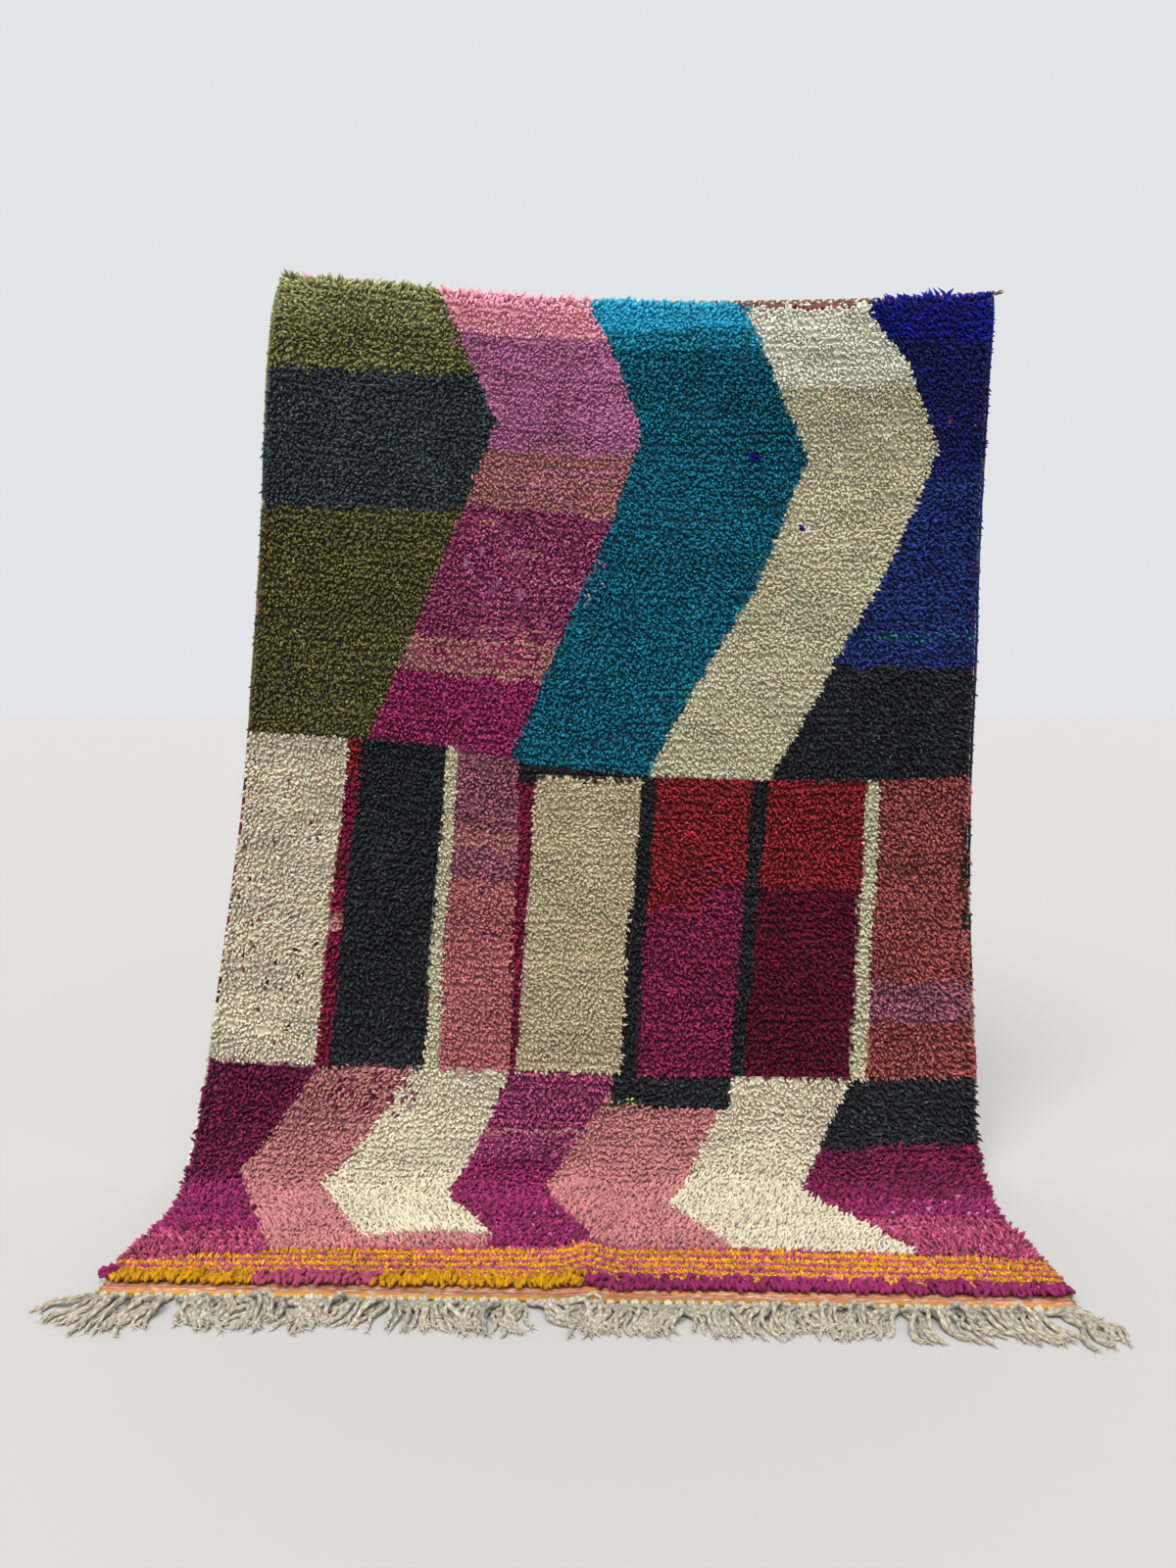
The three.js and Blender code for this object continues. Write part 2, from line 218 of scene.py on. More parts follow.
# Dyed wool, as red, green and blue from 0 to 255
yarns = {
    "olive": (146, 146, 96),
    "oliveMid": (124, 124, 74),
    "oliveDark": (99, 95, 52),
    "slate": (58, 69, 73),
    "coral": (255, 172, 190),
    "orchid": (195, 121, 163),
    "dustySalmon": (183, 121, 121),
    "magenta": (154, 65, 108),
    "deepMagenta": (157, 46, 100),
    "wine": (131, 34, 74),
    "salmon": (193, 127, 126),
    "tealBright": (50, 184, 221),
    "tealMid": (28, 140, 168),
    "teal": (13, 106, 129),
    "cream": (208, 202, 171),
    "creamPale": (240, 238, 220),
    "creamWarm": (218, 207, 182),
    "creamTan": (199, 184, 152),
    "cobalt": (15, 21, 137),
    "navy": (20, 31, 102),
    "blueSlate": (34, 52, 116),
    "tealLine": (34, 112, 130),
    "charcoal": (39, 40, 45),
    "black": (34, 34, 38),
    "mauve": (152, 89, 106),
    "rose": (192, 114, 116),
    "crimson": (126, 24, 58),
    "red": (142, 34, 43),
    "burgundy": (92, 8, 36),
    "dustyRose": (152, 76, 74),
    "plum": (113, 25, 67),
    "purple": (136, 37, 87),
    "lilacRose": (160, 66, 98),
    "ochre": (188, 133, 3),
    "warp": (204, 193, 168),
    "brown": (112, 84, 62),
    "orange": (214, 104, 44),
    "apricot": (190, 120, 82),
}
yarnNames = list(yarns)
yarnIndex = {name: k for k, name in enumerate(yarnNames)}


def linear(rgb):
    c = np.asarray(rgb, float) / 255
    return np.where(c <= 0.04045, c / 12.92, ((c + 0.055) / 1.055) ** 2.4)


yarnColours = np.array([linear(yarns[name]) for name in yarnNames])

# The woven pattern, in real sizes: across from the middle of a row, and distances from the front end
patternEdge = 0.645
borders = {
    "wander": [(0.006, 0.030, 0.5, 51)],
    "ragged": 0.0025,
}
upperHalf = {
    "foot": [(-0.642, 1.105), (-0.429, 1.111), (-0.290, 1.106), (-0.173, 1.086), (-0.037, 1.074),
             (0.071, 1.069), (0.285, 1.060), (0.480, 1.062), (0.635, 1.068)],
    # edges of the chevrons: distance from the front end, across
    "edges": [
        [(1.114, -0.429), (1.350, -0.350), (1.533, -0.289), (1.700, -0.236), (1.849, -0.307),
         (1.932, -0.356)],
        [(1.098, -0.174), (1.256, -0.117), (1.511, -0.025), (1.695, 0.028), (1.838, -0.034),
         (1.936, -0.091)],
        [(1.077, 0.071), (1.229, 0.145), (1.408, 0.241), (1.651, 0.328), (1.823, 0.248), (1.917, 0.199)],
        [(1.063, 0.285), (1.265, 0.386), (1.423, 0.468), (1.660, 0.565), (1.815, 0.504), (1.911, 0.425)],
    ],
    # in each chevron: lower edge of the colour, or that at its left and at its right, then the colour
    "fields": [
        [(1.850, 1.870, "olive"), (1.761, 1.790, "oliveMid"), (1.509, 1.533, "slate"),
         (1.300, "oliveDark"), (0, "oliveDark")],
        [(1.862, 1.868, "coral"), (1.650, 1.655, "orchid"), (1.545, 1.540, "dustySalmon"),
         (1.302, "magenta"), (1.236, 1.228, "dustySalmon"), (0, "deepMagenta")],
        [(1.880, 1.890, "tealBright"), (1.845, 1.853, "tealMid"), (0, "teal")],
        [(1.780, "creamPale"), (0, "cream")],
        [(1.868, 1.852, "cobalt"), (1.612, 1.606, "navy"), (1.3225, 1.3175, "blueSlate"),
         (1.3155, 1.3105, "tealLine"), (1.266, 1.258, "blueSlate"), (0, "charcoal")],
    ],
}
middleBlocks = {
    "foot": [(-0.640, 0.543), (-0.300, 0.547), (0.000, 0.550), (0.640, 0.551)],
    # right-hand edge at the top and at the foot, then colours as in the chevrons
    "blocks": [
        (-0.463, -0.470, [(0, "creamWarm")]),
        (-0.440, -0.445, [(1.040, "red"), (0.800, "crimson"), (0.765, "salmon"),
                          (0, "crimson")]),
        (-0.290, -0.287, [(0, "charcoal")]),
        (-0.269, -0.263, [(0, "cream")]),
        (-0.159, -0.141, [(0.960, "mauve"), (0.930, 0.925, "dustySalmon"), (0.880, 0.870, "mauve"),
                          (0, "rose")]),
        (-0.127, -0.130, [(1.046, "black"), (0, "crimson")]),
        (0.057, 0.047, [(1.058, 1.056, "black"), (0, "creamTan")]),
        (0.083, 0.074, [(0, "black")]),
        (0.252, 0.237, [(0.828, 0.882, "red"), (0, "wine")]),
        (0.285, 0.258, [(0, "black")]),
        (0.457, 0.436, [(0.874, 0.878, "red"), (0, "burgundy")]),
        (0.480, 0.464, [(0, "cream")]),
        (0.700, 0.700, [(0.713, "dustyRose"), (0.648, "mauve"), (0, "dustyRose")]),
    ],
}
lowerChevrons = {
    "foot": [(-0.640, 0.066), (-0.550, 0.080), (-0.400, 0.105), (-0.200, 0.122), (0.140, 0.130),
             (0.400, 0.120), (0.550, 0.108), (0.640, 0.100)],
    "edges": [
        [(0.109, -0.445), (0.356, -0.559), (0.551, -0.461)],
        [(0.159, -0.330), (0.329, -0.416), (0.547, -0.303)],
        [(0.161, -0.133), (0.312, -0.216), (0.550, -0.140)],
        [(0.149, 0.006), (0.335, -0.064), (0.529, 0.032)],
        [(0.131, 0.210), (0.279, 0.129), (0.496, 0.220), (0.545, 0.237)],
        [(0.135, 0.465), (0.329, 0.341), (0.547, 0.436)],
    ],
    "fields": [
        [(0.330, "plum"), (0.165, "purple"), (0, "lilacRose")],
        [(0.440, "dustySalmon"), (0.115, "salmon"), (0, "salmon")],
        [(0.159, 0.165, "creamWarm"), (0, "salmon")],
        [(0.455, 0.452, "magenta"), (0.447, 0.446, "dustySalmon"), (0.400, "magenta"), (0, "purple")],
        [(0, "salmon")],
        [(0, "creamWarm")],
        [(0.428, 0.446, "charcoal"), (0.290, 0.310, "plum"), (0.235, "purple"), (0, "lilacRose")],
    ],
    # bar of dark wool: left and right, foot and head
    "bar": (0.036, 0.236, 0.500, 0.550),
}
stripedEnd = {
    # yellow rows: across, distance from the front end
    "rows": [
        [(-0.640, 0.030), (-0.400, 0.036), (0.140, 0.043), (0.640, 0.037)],
        [(-0.640, 0.045), (-0.400, 0.052), (0.140, 0.061), (0.640, 0.054)],
        [(-0.640, 0.061), (-0.400, 0.069), (0.140, 0.080), (0.640, 0.070)],
        [(-0.640, 0.077), (-0.400, 0.087), (0.140, 0.098), (0.640, 0.087)],
        [(-0.640, 0.094), (-0.400, 0.103), (0.140, 0.119), (0.640, 0.103)],
    ],
    "between": "lilacRose",
    "past": (0.009, 0.017),       # two more rows between the last yellow row and the chevrons
    "wander": 0.0016,
    "strayShare": 0.07,
    # long tufts along the front: right-hand edge, colour
    "front": [(-0.443, "ochre"), (-0.283, "lilacRose"), (0.006, "ochre"), (0.700, "purple")],
}
# odd tufts: across, distance from the front end, half width, half height, share, colour
flecks = [
    (-0.560, 0.800, 0.080, 0.240, 0.014, "crimson"),
    (-0.560, 0.850, 0.080, 0.200, 0.014, "slate"),
    (-0.190, 1.430, 0.120, 0.090, 0.03, "dustySalmon"),
    (-0.150, 1.430, 0.130, 0.100, 0.10, "orchid"),
    (-0.170, 1.462, 0.034, 0.006, 0.85, "salmon"),
    (-0.240, 1.517, 0.024, 0.005, 0.80, "salmon"),
    (-0.045, 1.534, 0.024, 0.007, 0.80, "salmon"),
    (-0.130, 1.412, 0.050, 0.004, 0.50, "salmon"),
    (-0.270, 1.362, 0.040, 0.004, 0.50, "salmon"),
    (-0.180, 1.318, 0.090, 0.005, 0.60, "salmon"),
    (-0.090, 1.616, 0.070, 0.005, 0.75, "orchid"),
    (-0.180, 1.585, 0.050, 0.004, 0.60, "orchid"),
    (-0.060, 1.570, 0.040, 0.006, 0.60, "magenta"),
    (-0.120, 1.668, 0.070, 0.006, 0.50, "dustySalmon"),
    (-0.200, 1.790, 0.060, 0.006, 0.40, "mauve"),
    (-0.100, 1.750, 0.060, 0.020, 0.14, "lilacRose"),
    (-0.270, 1.845, 0.060, 0.010, 0.40, "orchid"),
    (-0.120, 1.600, 0.090, 0.050, 0.07, "orchid"),
    (-0.330, 1.790, 0.040, 0.012, 0.35, "oliveMid"),
    (-0.340, 1.530, 0.040, 0.008, 0.35, "slate"),
    (-0.240, 1.270, 0.130, 0.022, 0.30, "deepMagenta"),
    (-0.210, 0.800, 0.060, 0.060, 0.22, "mauve"),
    (-0.210, 0.950, 0.060, 0.070, 0.16, "dustySalmon"),
    (-0.200, 0.640, 0.060, 0.050, 0.14, "dustySalmon"),
    (0.180, 0.880, 0.080, 0.030, 0.30, "wine"),
    (0.130, 0.835, 0.050, 0.022, 0.30, "red"),
    (0.232, 1.650, 0.010, 0.010, 1.00, "cobalt"),
    (0.318, 1.520, 0.006, 0.006, 1.00, "cobalt"),
    (-0.455, 1.830, 0.120, 0.030, 0.010, "cobalt"),
    (-0.520, 1.480, 0.110, 0.040, 0.06, "slate"),
    (-0.480, 1.240, 0.120, 0.120, 0.03, "slate"),
    (0.300, 1.932, 0.125, 0.010, 0.55, "dustyRose"),
    (0.225, 1.912, 0.030, 0.008, 0.12, "dustyRose"),
    (-0.590, 1.938, 0.012, 0.009, 1.00, "coral"),
    (-0.610, 1.800, 0.025, 0.025, 0.22, "slate"),
    (0.590, 1.640, 0.060, 0.100, 0.006, "dustySalmon"),
    (0.585, 1.470, 0.060, 0.090, 0.24, "navy"),
    (0.636, 0.900, 0.010, 0.110, 0.55, "black"),
    (0.055, 0.503, 0.028, 0.008, 0.40, "olive"),
    (-0.360, 0.500, 0.080, 0.035, 0.20, "plum"),
    (-0.560, 0.190, 0.090, 0.090, 0.10, "plum"),
    (0.560, 0.220, 0.120, 0.100, 0.03, "orchid"),
    (0.060, 0.190, 0.200, 0.060, 0.02, "orchid"),
]


def fieldColour(fields, across, along, left, right):
    share = np.clip((across - left) / np.maximum(right - left, 1e-6), 0, 1)
    found = np.full(across.shape, yarnIndex[fields[-1][-1]])
    shift = layeredNoise(across, along, borders["wander"])
    shift = shift + random.normal(0, borders["ragged"], across.shape)
    for *feet, yarn in reversed(fields[:-1]):
        foot = feet[0] + (feet[-1] - feet[0]) * share + shift
        found = np.where(along > foot, yarnIndex[yarn], found)
    return found


def chevronColour(zone, across, along):
    edges = []
    for edge in zone["edges"]:
        at, places = np.array(edge).T
        edges.append(np.interp(along, at, places))
    edges = [np.full(across.shape, -patternEdge)] + edges + [np.full(across.shape, patternEdge)]
    found = np.zeros(across.shape, int)
    for k, fields in enumerate(zone["fields"]):
        inside = (across >= edges[k]) | (k == 0)
        found = np.where(inside, fieldColour(fields, across, along, edges[k], edges[k + 1]), found)
    return found


def blockColour(zone, across, along, foot, head):
    rise = np.clip((along - foot) / (head - foot), 0, 1)
    found = np.zeros(across.shape, int)
    left = np.full(across.shape, -patternEdge)
    for headEdge, footEdge, fields in zone["blocks"]:
        right = footEdge + (headEdge - footEdge) * rise
        found = np.where(across >= left, fieldColour(fields, across, along, left, right), found)
        left = right
    return found


# The yarn of the first row of a table (edge, yarn) whose edge lies past the value
def yarnBefore(value, rows):
    edges, names = zip(*rows)
    order = np.minimum(np.searchsorted(edges, value, side="right"), len(rows) - 1)
    return np.array([yarnIndex[name] for name in names])[order]


def footLine(zone, across):
    places, at = np.array(zone["foot"]).T
    return np.interp(across, places, at)


# The yarn of each knot, as a number in yarnNames
def patternAt(across, along):
    upperFoot, middleFoot = footLine(upperHalf, across), footLine(middleBlocks, across)
    stripesHead = footLine(lowerChevrons, across)
    middle = blockColour(middleBlocks, across, along, middleFoot, upperFoot)
    lower = chevronColour(lowerChevrons, across, along)
    left, right, foot, head = lowerChevrons["bar"]
    inBar = (across > left) & (across < right) & (along > foot) & (along < head)
    lower = np.where(inBar, yarnIndex["charcoal"], lower)
    found = np.where(along > stripesHead, lower, yarnIndex[stripedEnd["between"]])
    found = np.where(along > middleFoot, middle, found)
    found = np.where(along > upperFoot, chevronColour(upperHalf, across, along), found)
    for x, at, halfWidth, halfHeight, share, yarn in flecks:
        inside = ((across - x) / halfWidth) ** 2 + ((along - at) / halfHeight) ** 2 < 1
        chosen = inside & (random.random(across.shape) < share)
        found = np.where(chosen, yarnIndex[yarn], found)
    return found


# Wool is never one even colour: rows from different dye lots, faded patches and single strands
dye = {
    "layers": [(0.09, 0.14, 0.0105, 71), (0.06, 0.5, 0.045, 72), (0.08, 0.06, 0.030, 73)],
    "tint": 0.03,
    "limits": (0.35, 1.8),
}


def dyed(colours, across, along, spread):
    value = 1 + layeredNoise(across, along, dye["layers"]) + random.normal(0, spread, across.shape)
    tint = 1 + random.normal(0, dye["tint"], across.shape + (3,))
    return np.clip(colours * np.clip(value, *dye["limits"])[..., None] * tint, 0.002, 0.95)


# Meshes and materials

def unit(vectors):
    return vectors / np.maximum(np.linalg.norm(vectors, axis=-1, keepdims=True), 1e-9)


def meshPiece(name, points, faces, material):
    mesh = bpy.data.meshes.new(name)
    mesh.from_pydata(points.reshape(-1, 3).tolist(), [], faces)
    mesh.polygons.foreach_set("use_smooth", [True] * len(mesh.polygons))
    mesh.materials.append(material)
    piece = bpy.data.objects.new(name, mesh)
    bpy.context.scene.collection.objects.link(piece)
    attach(piece, "root")
    return piece


def paint(mesh, colours, domain="POINT"):
    attribute = mesh.color_attributes.new("wool", "FLOAT_COLOR", domain)
    rgba = np.ones((len(attribute.data), 4), np.float32)
    rgba[:, :3] = colours.reshape(-1, 3)
    attribute.data.foreach_set("color", rgba.ravel())


# Reads one value, or a few, of every point, corner or face of a mesh
def readAll(items, name, width=1, kind=float):
    values = np.empty(len(items) * width, kind)
    items.foreach_get(name, values)
    return values.reshape(-1, width) if width > 1 else values


# Each face's first corner and number of corners, and for each corner the face that it belongs to
def faceCorners(mesh):
    starts = readAll(mesh.polygons, "loop_start", kind=int)
    totals = readAll(mesh.polygons, "loop_total", kind=int)
    return starts, totals, np.repeat(np.arange(len(starts)), totals)


def setUv(mesh, name, values):
    layer = mesh.uv_layers.get(name) or mesh.uv_layers.new(name=name)
    layer.data.foreach_set("uv", values.astype(np.float32).ravel())


def ringWalls(index):
    turned = np.roll(index, -1, axis=2)
    return np.stack([index[:, :-1], turned[:, :-1], turned[:, 1:], index[:, 1:]], -1).reshape(-1, 4)


# Open tubes along many paths at once: centres (tubes, rings, 3), radii (tubes, rings, sides), and a
# direction that is not along the paths, where each ring starts
def tubes(centres, radii, side):
    count, rings, sides = radii.shape
    tangent = unit(np.gradient(centres, axis=1))
    side = unit(side - tangent * np.sum(side * tangent, -1, keepdims=True))
    normal = np.cross(tangent, side)
    angle = 2 * np.pi * np.arange(sides) / sides
    ringShape = np.cos(angle)[:, None] * side[..., None, :] + np.sin(angle)[:, None] * normal[..., None, :]
    points = centres[..., None, :] + radii[..., None] * ringShape
    index = np.arange(count * rings * sides).reshape(count, rings, sides)
    return points, index


# The faces of such tubes, with both ends closed
def capped(index):
    return ringWalls(index).tolist() + index[:, 0, ::-1].tolist() + index[:, -1].tolist()


def newMaterial(name):
    material = bpy.data.materials.new(name)
    material.use_nodes = True
    return material, material.node_tree, material.node_tree.nodes["Principled BSDF"]


# Fills a node's sockets, from another node's socket or with a plain value
def fill(tree, node, inputs):
    for socket, value in inputs.items():
        if isinstance(value, bpy.types.NodeSocket):
            tree.links.new(value, node.inputs[socket])
        else:
            node.inputs[socket].default_value = value


def addNode(tree, kind, inputs=None, **settings):
    node = tree.nodes.new(kind)
    for name, value in settings.items():
        setattr(node, name, value)
    fill(tree, node, inputs or {})
    return node


def mathNode(tree, operation, *values):
    return addNode(tree, "ShaderNodeMath", dict(enumerate(values)), operation=operation).outputs[0]


def mapRange(tree, value, low=0, high=1, toLow=0, toHigh=1):
    inputs = {"Value": value, "From Min": low, "From Max": high, "To Min": toLow, "To Max": toHigh}
    return addNode(tree, "ShaderNodeMapRange", inputs).outputs["Result"]


def uvSplit(tree, name):
    uv = addNode(tree, "ShaderNodeUVMap", uv_map=name)
    return addNode(tree, "ShaderNodeSeparateXYZ", {0: uv.outputs["UV"]}).outputs


def woolColour(tree):
    return addNode(tree, "ShaderNodeAttribute", attribute_name="wool").outputs["Color"]


def scaled(tree, colour, times):
    return addNode(tree, "ShaderNodeVectorMath", {0: colour, "Scale": times}, operation="SCALE").outputs[0]


def relief(tree, height, strength, distance):
    inputs = {"Height": height, "Strength": strength, "Distance": distance}
    return addNode(tree, "ShaderNodeBump", inputs).outputs["Normal"]


# Shared effect: spun wool. Darkens the colour between the plies as painted shade, and gives their height,
# on the yarn's own map
spunYarn = {
    "fibreScale": 420,
    "fibreDetail": 3,
    "fibreTones": (0.72, 1.28),
}


def makeYarnGroup():
    group = bpy.data.node_groups.new("spunYarn", "ShaderNodeTree")
    for name, way, kind in [("Colour", "INPUT", "Color"), ("Plies", "INPUT", "Float"),
                            ("Depth", "INPUT", "Float"), ("Colour", "OUTPUT", "Color"),
                            ("Height", "OUTPUT", "Float")]:
        group.interface.new_socket(name, in_out=way, socket_type="NodeSocket" + kind)
    given = group.nodes.new("NodeGroupInput").outputs
    place = uvSplit(group, "yarn")
    turns = mathNode(group, "MULTIPLY", mathNode(group, "ADD", place["X"], place["Y"]), given["Plies"])
    height = mapRange(group, mathNode(group, "SINE", turns), low=-1)
    where = addNode(group, "ShaderNodeTexCoord").outputs["Object"]
    fibre = addNode(group, "ShaderNodeTexNoise", {
        "Vector": where, "Scale": spunYarn["fibreScale"], "Detail": spunYarn["fibreDetail"]}).outputs["Fac"]
    darkTone, lightTone = spunYarn["fibreTones"]
    spread = mapRange(group, fibre, toLow=darkTone, toHigh=lightTone)
    # painted shade: the colour darkens towards the grooves between the plies, by Depth
    below = mathNode(group, "SUBTRACT", height, 1)
    between = mathNode(group, "MULTIPLY_ADD", below, given["Depth"], 1)      # 1 + depth * (height - 1)
    tone = scaled(group, given["Colour"], mathNode(group, "MULTIPLY", between, spread))
    addNode(group, "NodeGroupOutput", {"Colour": tone, "Height": mathNode(group, "ADD", height, fibre)})
    return group


yarnGroup = makeYarnGroup()


def woolMaterial(name, plies, depth, bump, sheen=0.25, roughness=0.85):
    material, tree, shader = newMaterial(name)
    inputs = {"Colour": woolColour(tree), "Plies": plies, "Depth": depth}
    yarn = addNode(tree, "ShaderNodeGroup", inputs, node_tree=yarnGroup)
    fill(tree, shader, {
        "Base Color": yarn.outputs["Colour"],
        "Normal": relief(tree, yarn.outputs["Height"], 0.6, bump),
        "Roughness": roughness,
        "Sheen Weight": sheen,
        "Sheen Roughness": 0.5,
        "Specular IOR Level": 0.15,
    })
    return material


pileWool = woolMaterial("pileWool", 2 * math.pi, 0.15, 0.0004, sheen=0.05, roughness=0.9)
groundWool = woolMaterial("groundWool", 0, 0, 0.0004)
edgeWool = woolMaterial("edgeWool", 2 * math.pi, 0.35, 0.0005)
warpWool = woolMaterial("warpWool", 2 * math.pi, 0.35, 0.0005, sheen=0.15)

# The pile: each tuft is one bent yarn end

pile = {
    "reach": 0.66,                # laid out this far to each side, then cut to the cloth
    "knotRow": 0.0156,
    "tuftsPerKnotRow": 3,
    "gather": 0.40,               # how far the tufts of one knot row draw together
    "gatherPatch": (0.13, 1.4, 87),      # patch size across, in knot rows, and seed
    "rowWaves": [(0.0045, 0.16, 0.07, 81)],
    "pitchAcross": 0.0063,
    "jitter": 0.0014,
    "start": 0.034,
    "rootLift": 0.0085,
    "bellyLift": 0.0150,
    "tipLift": 0.0200,
    "lumps": [(0.0027, 0.050, 0.014, 85), (0.0016, 0.09, 0.08, 86)],
    "radius": (0.0023, 0.0030),   # at the root and at the belly
    "lean": 0.0072,
    "leanPatches": [(3, 0.11, 0.14, 84)],
    "leanToRight": 0.6,
    "leanAngle": 62,              # degrees away from straight down
    "leanOnFloor": 0.65,
    "leanHeel": (0.26, 0.45),
    "swirls": [(42, 0.05, 0.05, 82)],    # degrees
    "unruly": 0.80,
    "rimDepth": (0.018, 0.002),
    "rimLean": 0.75,
    "topDepth": (0.030, 0.004),
    "topLean": 0.9,
    "topFluff": 1.1,
    "cornerFluff": 0.9,
    "rightPuff": (0.535, 0.045, 0.9),    # a fuller spot: across, its width and by how much
    "stripePitch": 0.0048,
    "stripeTuftDepth": 0.0031,
    "stripeTip": 0.0150,
    # spread of brightness, and shades at the root, belly and tip of dark and of pale wool: painted shade at
    # the root, painted highlight at the tip
    "spread": (0.32, 0.07),
    "paleFrom": (0.05, 0.45),
    "darkShades": (0.28, 0.80, 1.55),
    # on the floor the painted shade at the root is lighter and the painted highlight at the tip weaker
    "floorShades": (0.52, 0.96, 1.22),
    "paleShades": (0.62, 0.90, 1.06),
    "paleFloorShades": (0.84, 0.97, 1.03),
    # share of the tufts with a painted glint on the tip, how bright it is, and how much more in black wool
    "glints": (0.18, 1.9, 1.5),
    "blackTo": (0.01, 0.06),
    "heel": (0.26, 0.42),         # from the floor to the hanging part
    "bareTop": (0.16, 0.44),      # here the end cord shows above the pile
    "bareBlend": 0.020,
    "bareDepth": 0.010,
    "bareShare": 0.6,
    "pieces": [("pile_floor", 0.0), ("pile_heel", 0.42), ("pile_lower", 0.80), ("pile_middle", 1.18),
               ("pile_upper", 1.56)],
}


def tuftSpots():
    perRow = pile["tuftsPerKnotRow"]
    depth = pile["knotRow"] / perRow
    rows = np.arange(int((clothLength - pile["start"]) / depth))
    columns = np.arange(-pile["reach"], pile["reach"], pile["pitchAcross"])
    row, across = np.meshgrid(rows, columns, indexing="ij")
    across = across + row % 2 * pile["pitchAcross"] / 2
    knotRow = row // perRow
    place = row % perRow - (perRow - 1) / 2
    gather = pile["gather"] * (0.5 + 0.5 * softNoise(across, knotRow * 1.0, *pile["gatherPatch"]))
    along = pile["start"] + knotRow * pile["knotRow"] + (pile["knotRow"] + depth) / 2
    along = along + place * depth * (1 - gather)
    along = along + layeredNoise(across, along, pile["rowWaves"])
    along = along.ravel() + random.normal(0, pile["jitter"] * 0.7, along.size)
    across = across.ravel() + random.normal(0, pile["jitter"], across.size)
    above = along > chevronsStart(across)
    across, along = across[above], along[above]
    yarn = patternAt(across, along)
    spots = zip((across, along, yarn), stripeSpots())
    across, along, yarn = [np.concatenate(both) for both in spots]
    half = halfWidthAt(along)
    left, right = pile["bareTop"]
    bare = (across > left) & (across < right) & (along > clothLength - pile["bareDepth"])
    thinned = bare & (random.random(across.size) < pile["bareShare"])
    keep = (np.abs(across) < half - 0.0005) & (along < clothLength - 0.001) & ~thinned
    return across[keep], along[keep], half[keep], yarn[keep]


# Above this line stand the tufts of the chevrons, below it those of the striped end
def chevronsStart(across):
    return footLine(lowerChevrons, across) + 0.002


# The striped end is knotted row by row: yellow rows, and one of purple between each two
def stripeSpots():
    columns = np.arange(-pile["reach"], pile["reach"], pile["stripePitch"])
    yellow = [np.interp(columns, *np.array(row).T) for row in stripedEnd["rows"]]
    lines = []
    for lower, upper in zip(yellow, yellow[1:]):
        lines += [(lower, "ochre"), ((lower + upper) / 2, "between")]
    lines += [(yellow[-1], "ochre")]
    lines += [(yellow[-1] + past, "between") for past in stripedEnd["past"]]
    between, ochre = yarnIndex[stripedEnd["between"]], yarnIndex["ochre"]
    across, along, yarn = [], [], []
    for k, (line, name) in enumerate(lines):
        wander = stripedEnd["wander"] * softNoise(columns, columns * 0 + k * 0.3, 0.045, 1, 61)
        for place in (-1, 0, 1) if name == "ochre" else (-0.5, 0.5):
            x = columns + place * pile["stripePitch"] / 2 + random.normal(0, 0.0009, columns.size)
            numbers = np.full(x.size, ochre if name == "ochre" else between)
            chance = stripedEnd["strayShare"] * (1 + lineNoise(x, 0.06, 62 + k))
            stray = random.random(x.size) < chance
            across.append(x)
            along.append(line + wander + place * pile["stripeTuftDepth"] + random.normal(0, 0.0005, x.size))
            yarn.append(np.where(stray, ochre + between - numbers, numbers))
    across, along, yarn = np.concatenate(across), np.concatenate(along), np.concatenate(yarn)
    below = along < chevronsStart(across)
    return across[below], along[below], yarn[below]


def stripedShare(across, along):
    head = footLine(lowerChevrons, across)
    return 1 - smoothStep(along, head - 0.010, head + 0.010)


def leanDirections(across, along, half):
    # most lie to one side or the other, and between such patches they hang down
    toSide = np.tanh(layeredNoise(across, along, pile["leanPatches"]) + pile["leanToRight"])
    onFloor = pile["leanOnFloor"]
    toSide = toSide * (onFloor + (1 - onFloor) * smoothStep(along, *pile["leanHeel"]))
    angle = np.radians(-90 + pile["leanAngle"] * toSide + layeredNoise(across, along, pile["swirls"]))
    angle = angle + random.normal(0, pile["unruly"], across.shape)
    side, up = np.cos(angle), np.sin(angle)
    # at the rim the tufts lean out past the edge
    rimStart, rimEnd = pile["rimDepth"]
    rim = smoothStep(np.abs(across), half - rimStart, half - rimEnd)
    side = side * (1 - rim) + np.sign(across) * pile["rimLean"] * rim
    left, right = pile["bareTop"]
    blend = pile["bareBlend"]
    bare = smoothStep(across, left - blend, left + blend)
    bare = bare * (1 - smoothStep(across, right - blend, right + blend))
    topStart, topEnd = pile["topDepth"]
    top = smoothStep(along, clothLength - topStart, clothLength - topEnd)
    up = up * (1 - top) + (pile["topLean"] - 1.3 * bare) * top
    return side, up, rim, top, bare


# How far each tuft leans, more so along the top edge and in its corners
def leanSizes(across, along, half, striped, top, bare):
    count = across.size
    size = pile["lean"] * varied(count, 0.30, 0.30, 2.0) * (1 - 0.6 * striped)
    puffs = 0.7 + 0.5 * lineNoise(across, 0.035, 88)
    fromMiddle = np.abs(across)
    corners = 1 + pile["cornerFluff"] * smoothStep(fromMiddle, half - 0.14, half - 0.04)
    corners = corners * (1 - 0.6 * smoothStep(fromMiddle, half - 0.026, half - 0.006))
    puffAt, puffWidth, puffSize = pile["rightPuff"]
    corners = corners + puffSize * np.exp(-((across - puffAt) / puffWidth) ** 2)
    fluff = pile["topFluff"] * top * (1 - bare) * puffs * corners
    return size * (1 + fluff * random.uniform(0.3, 1, count))
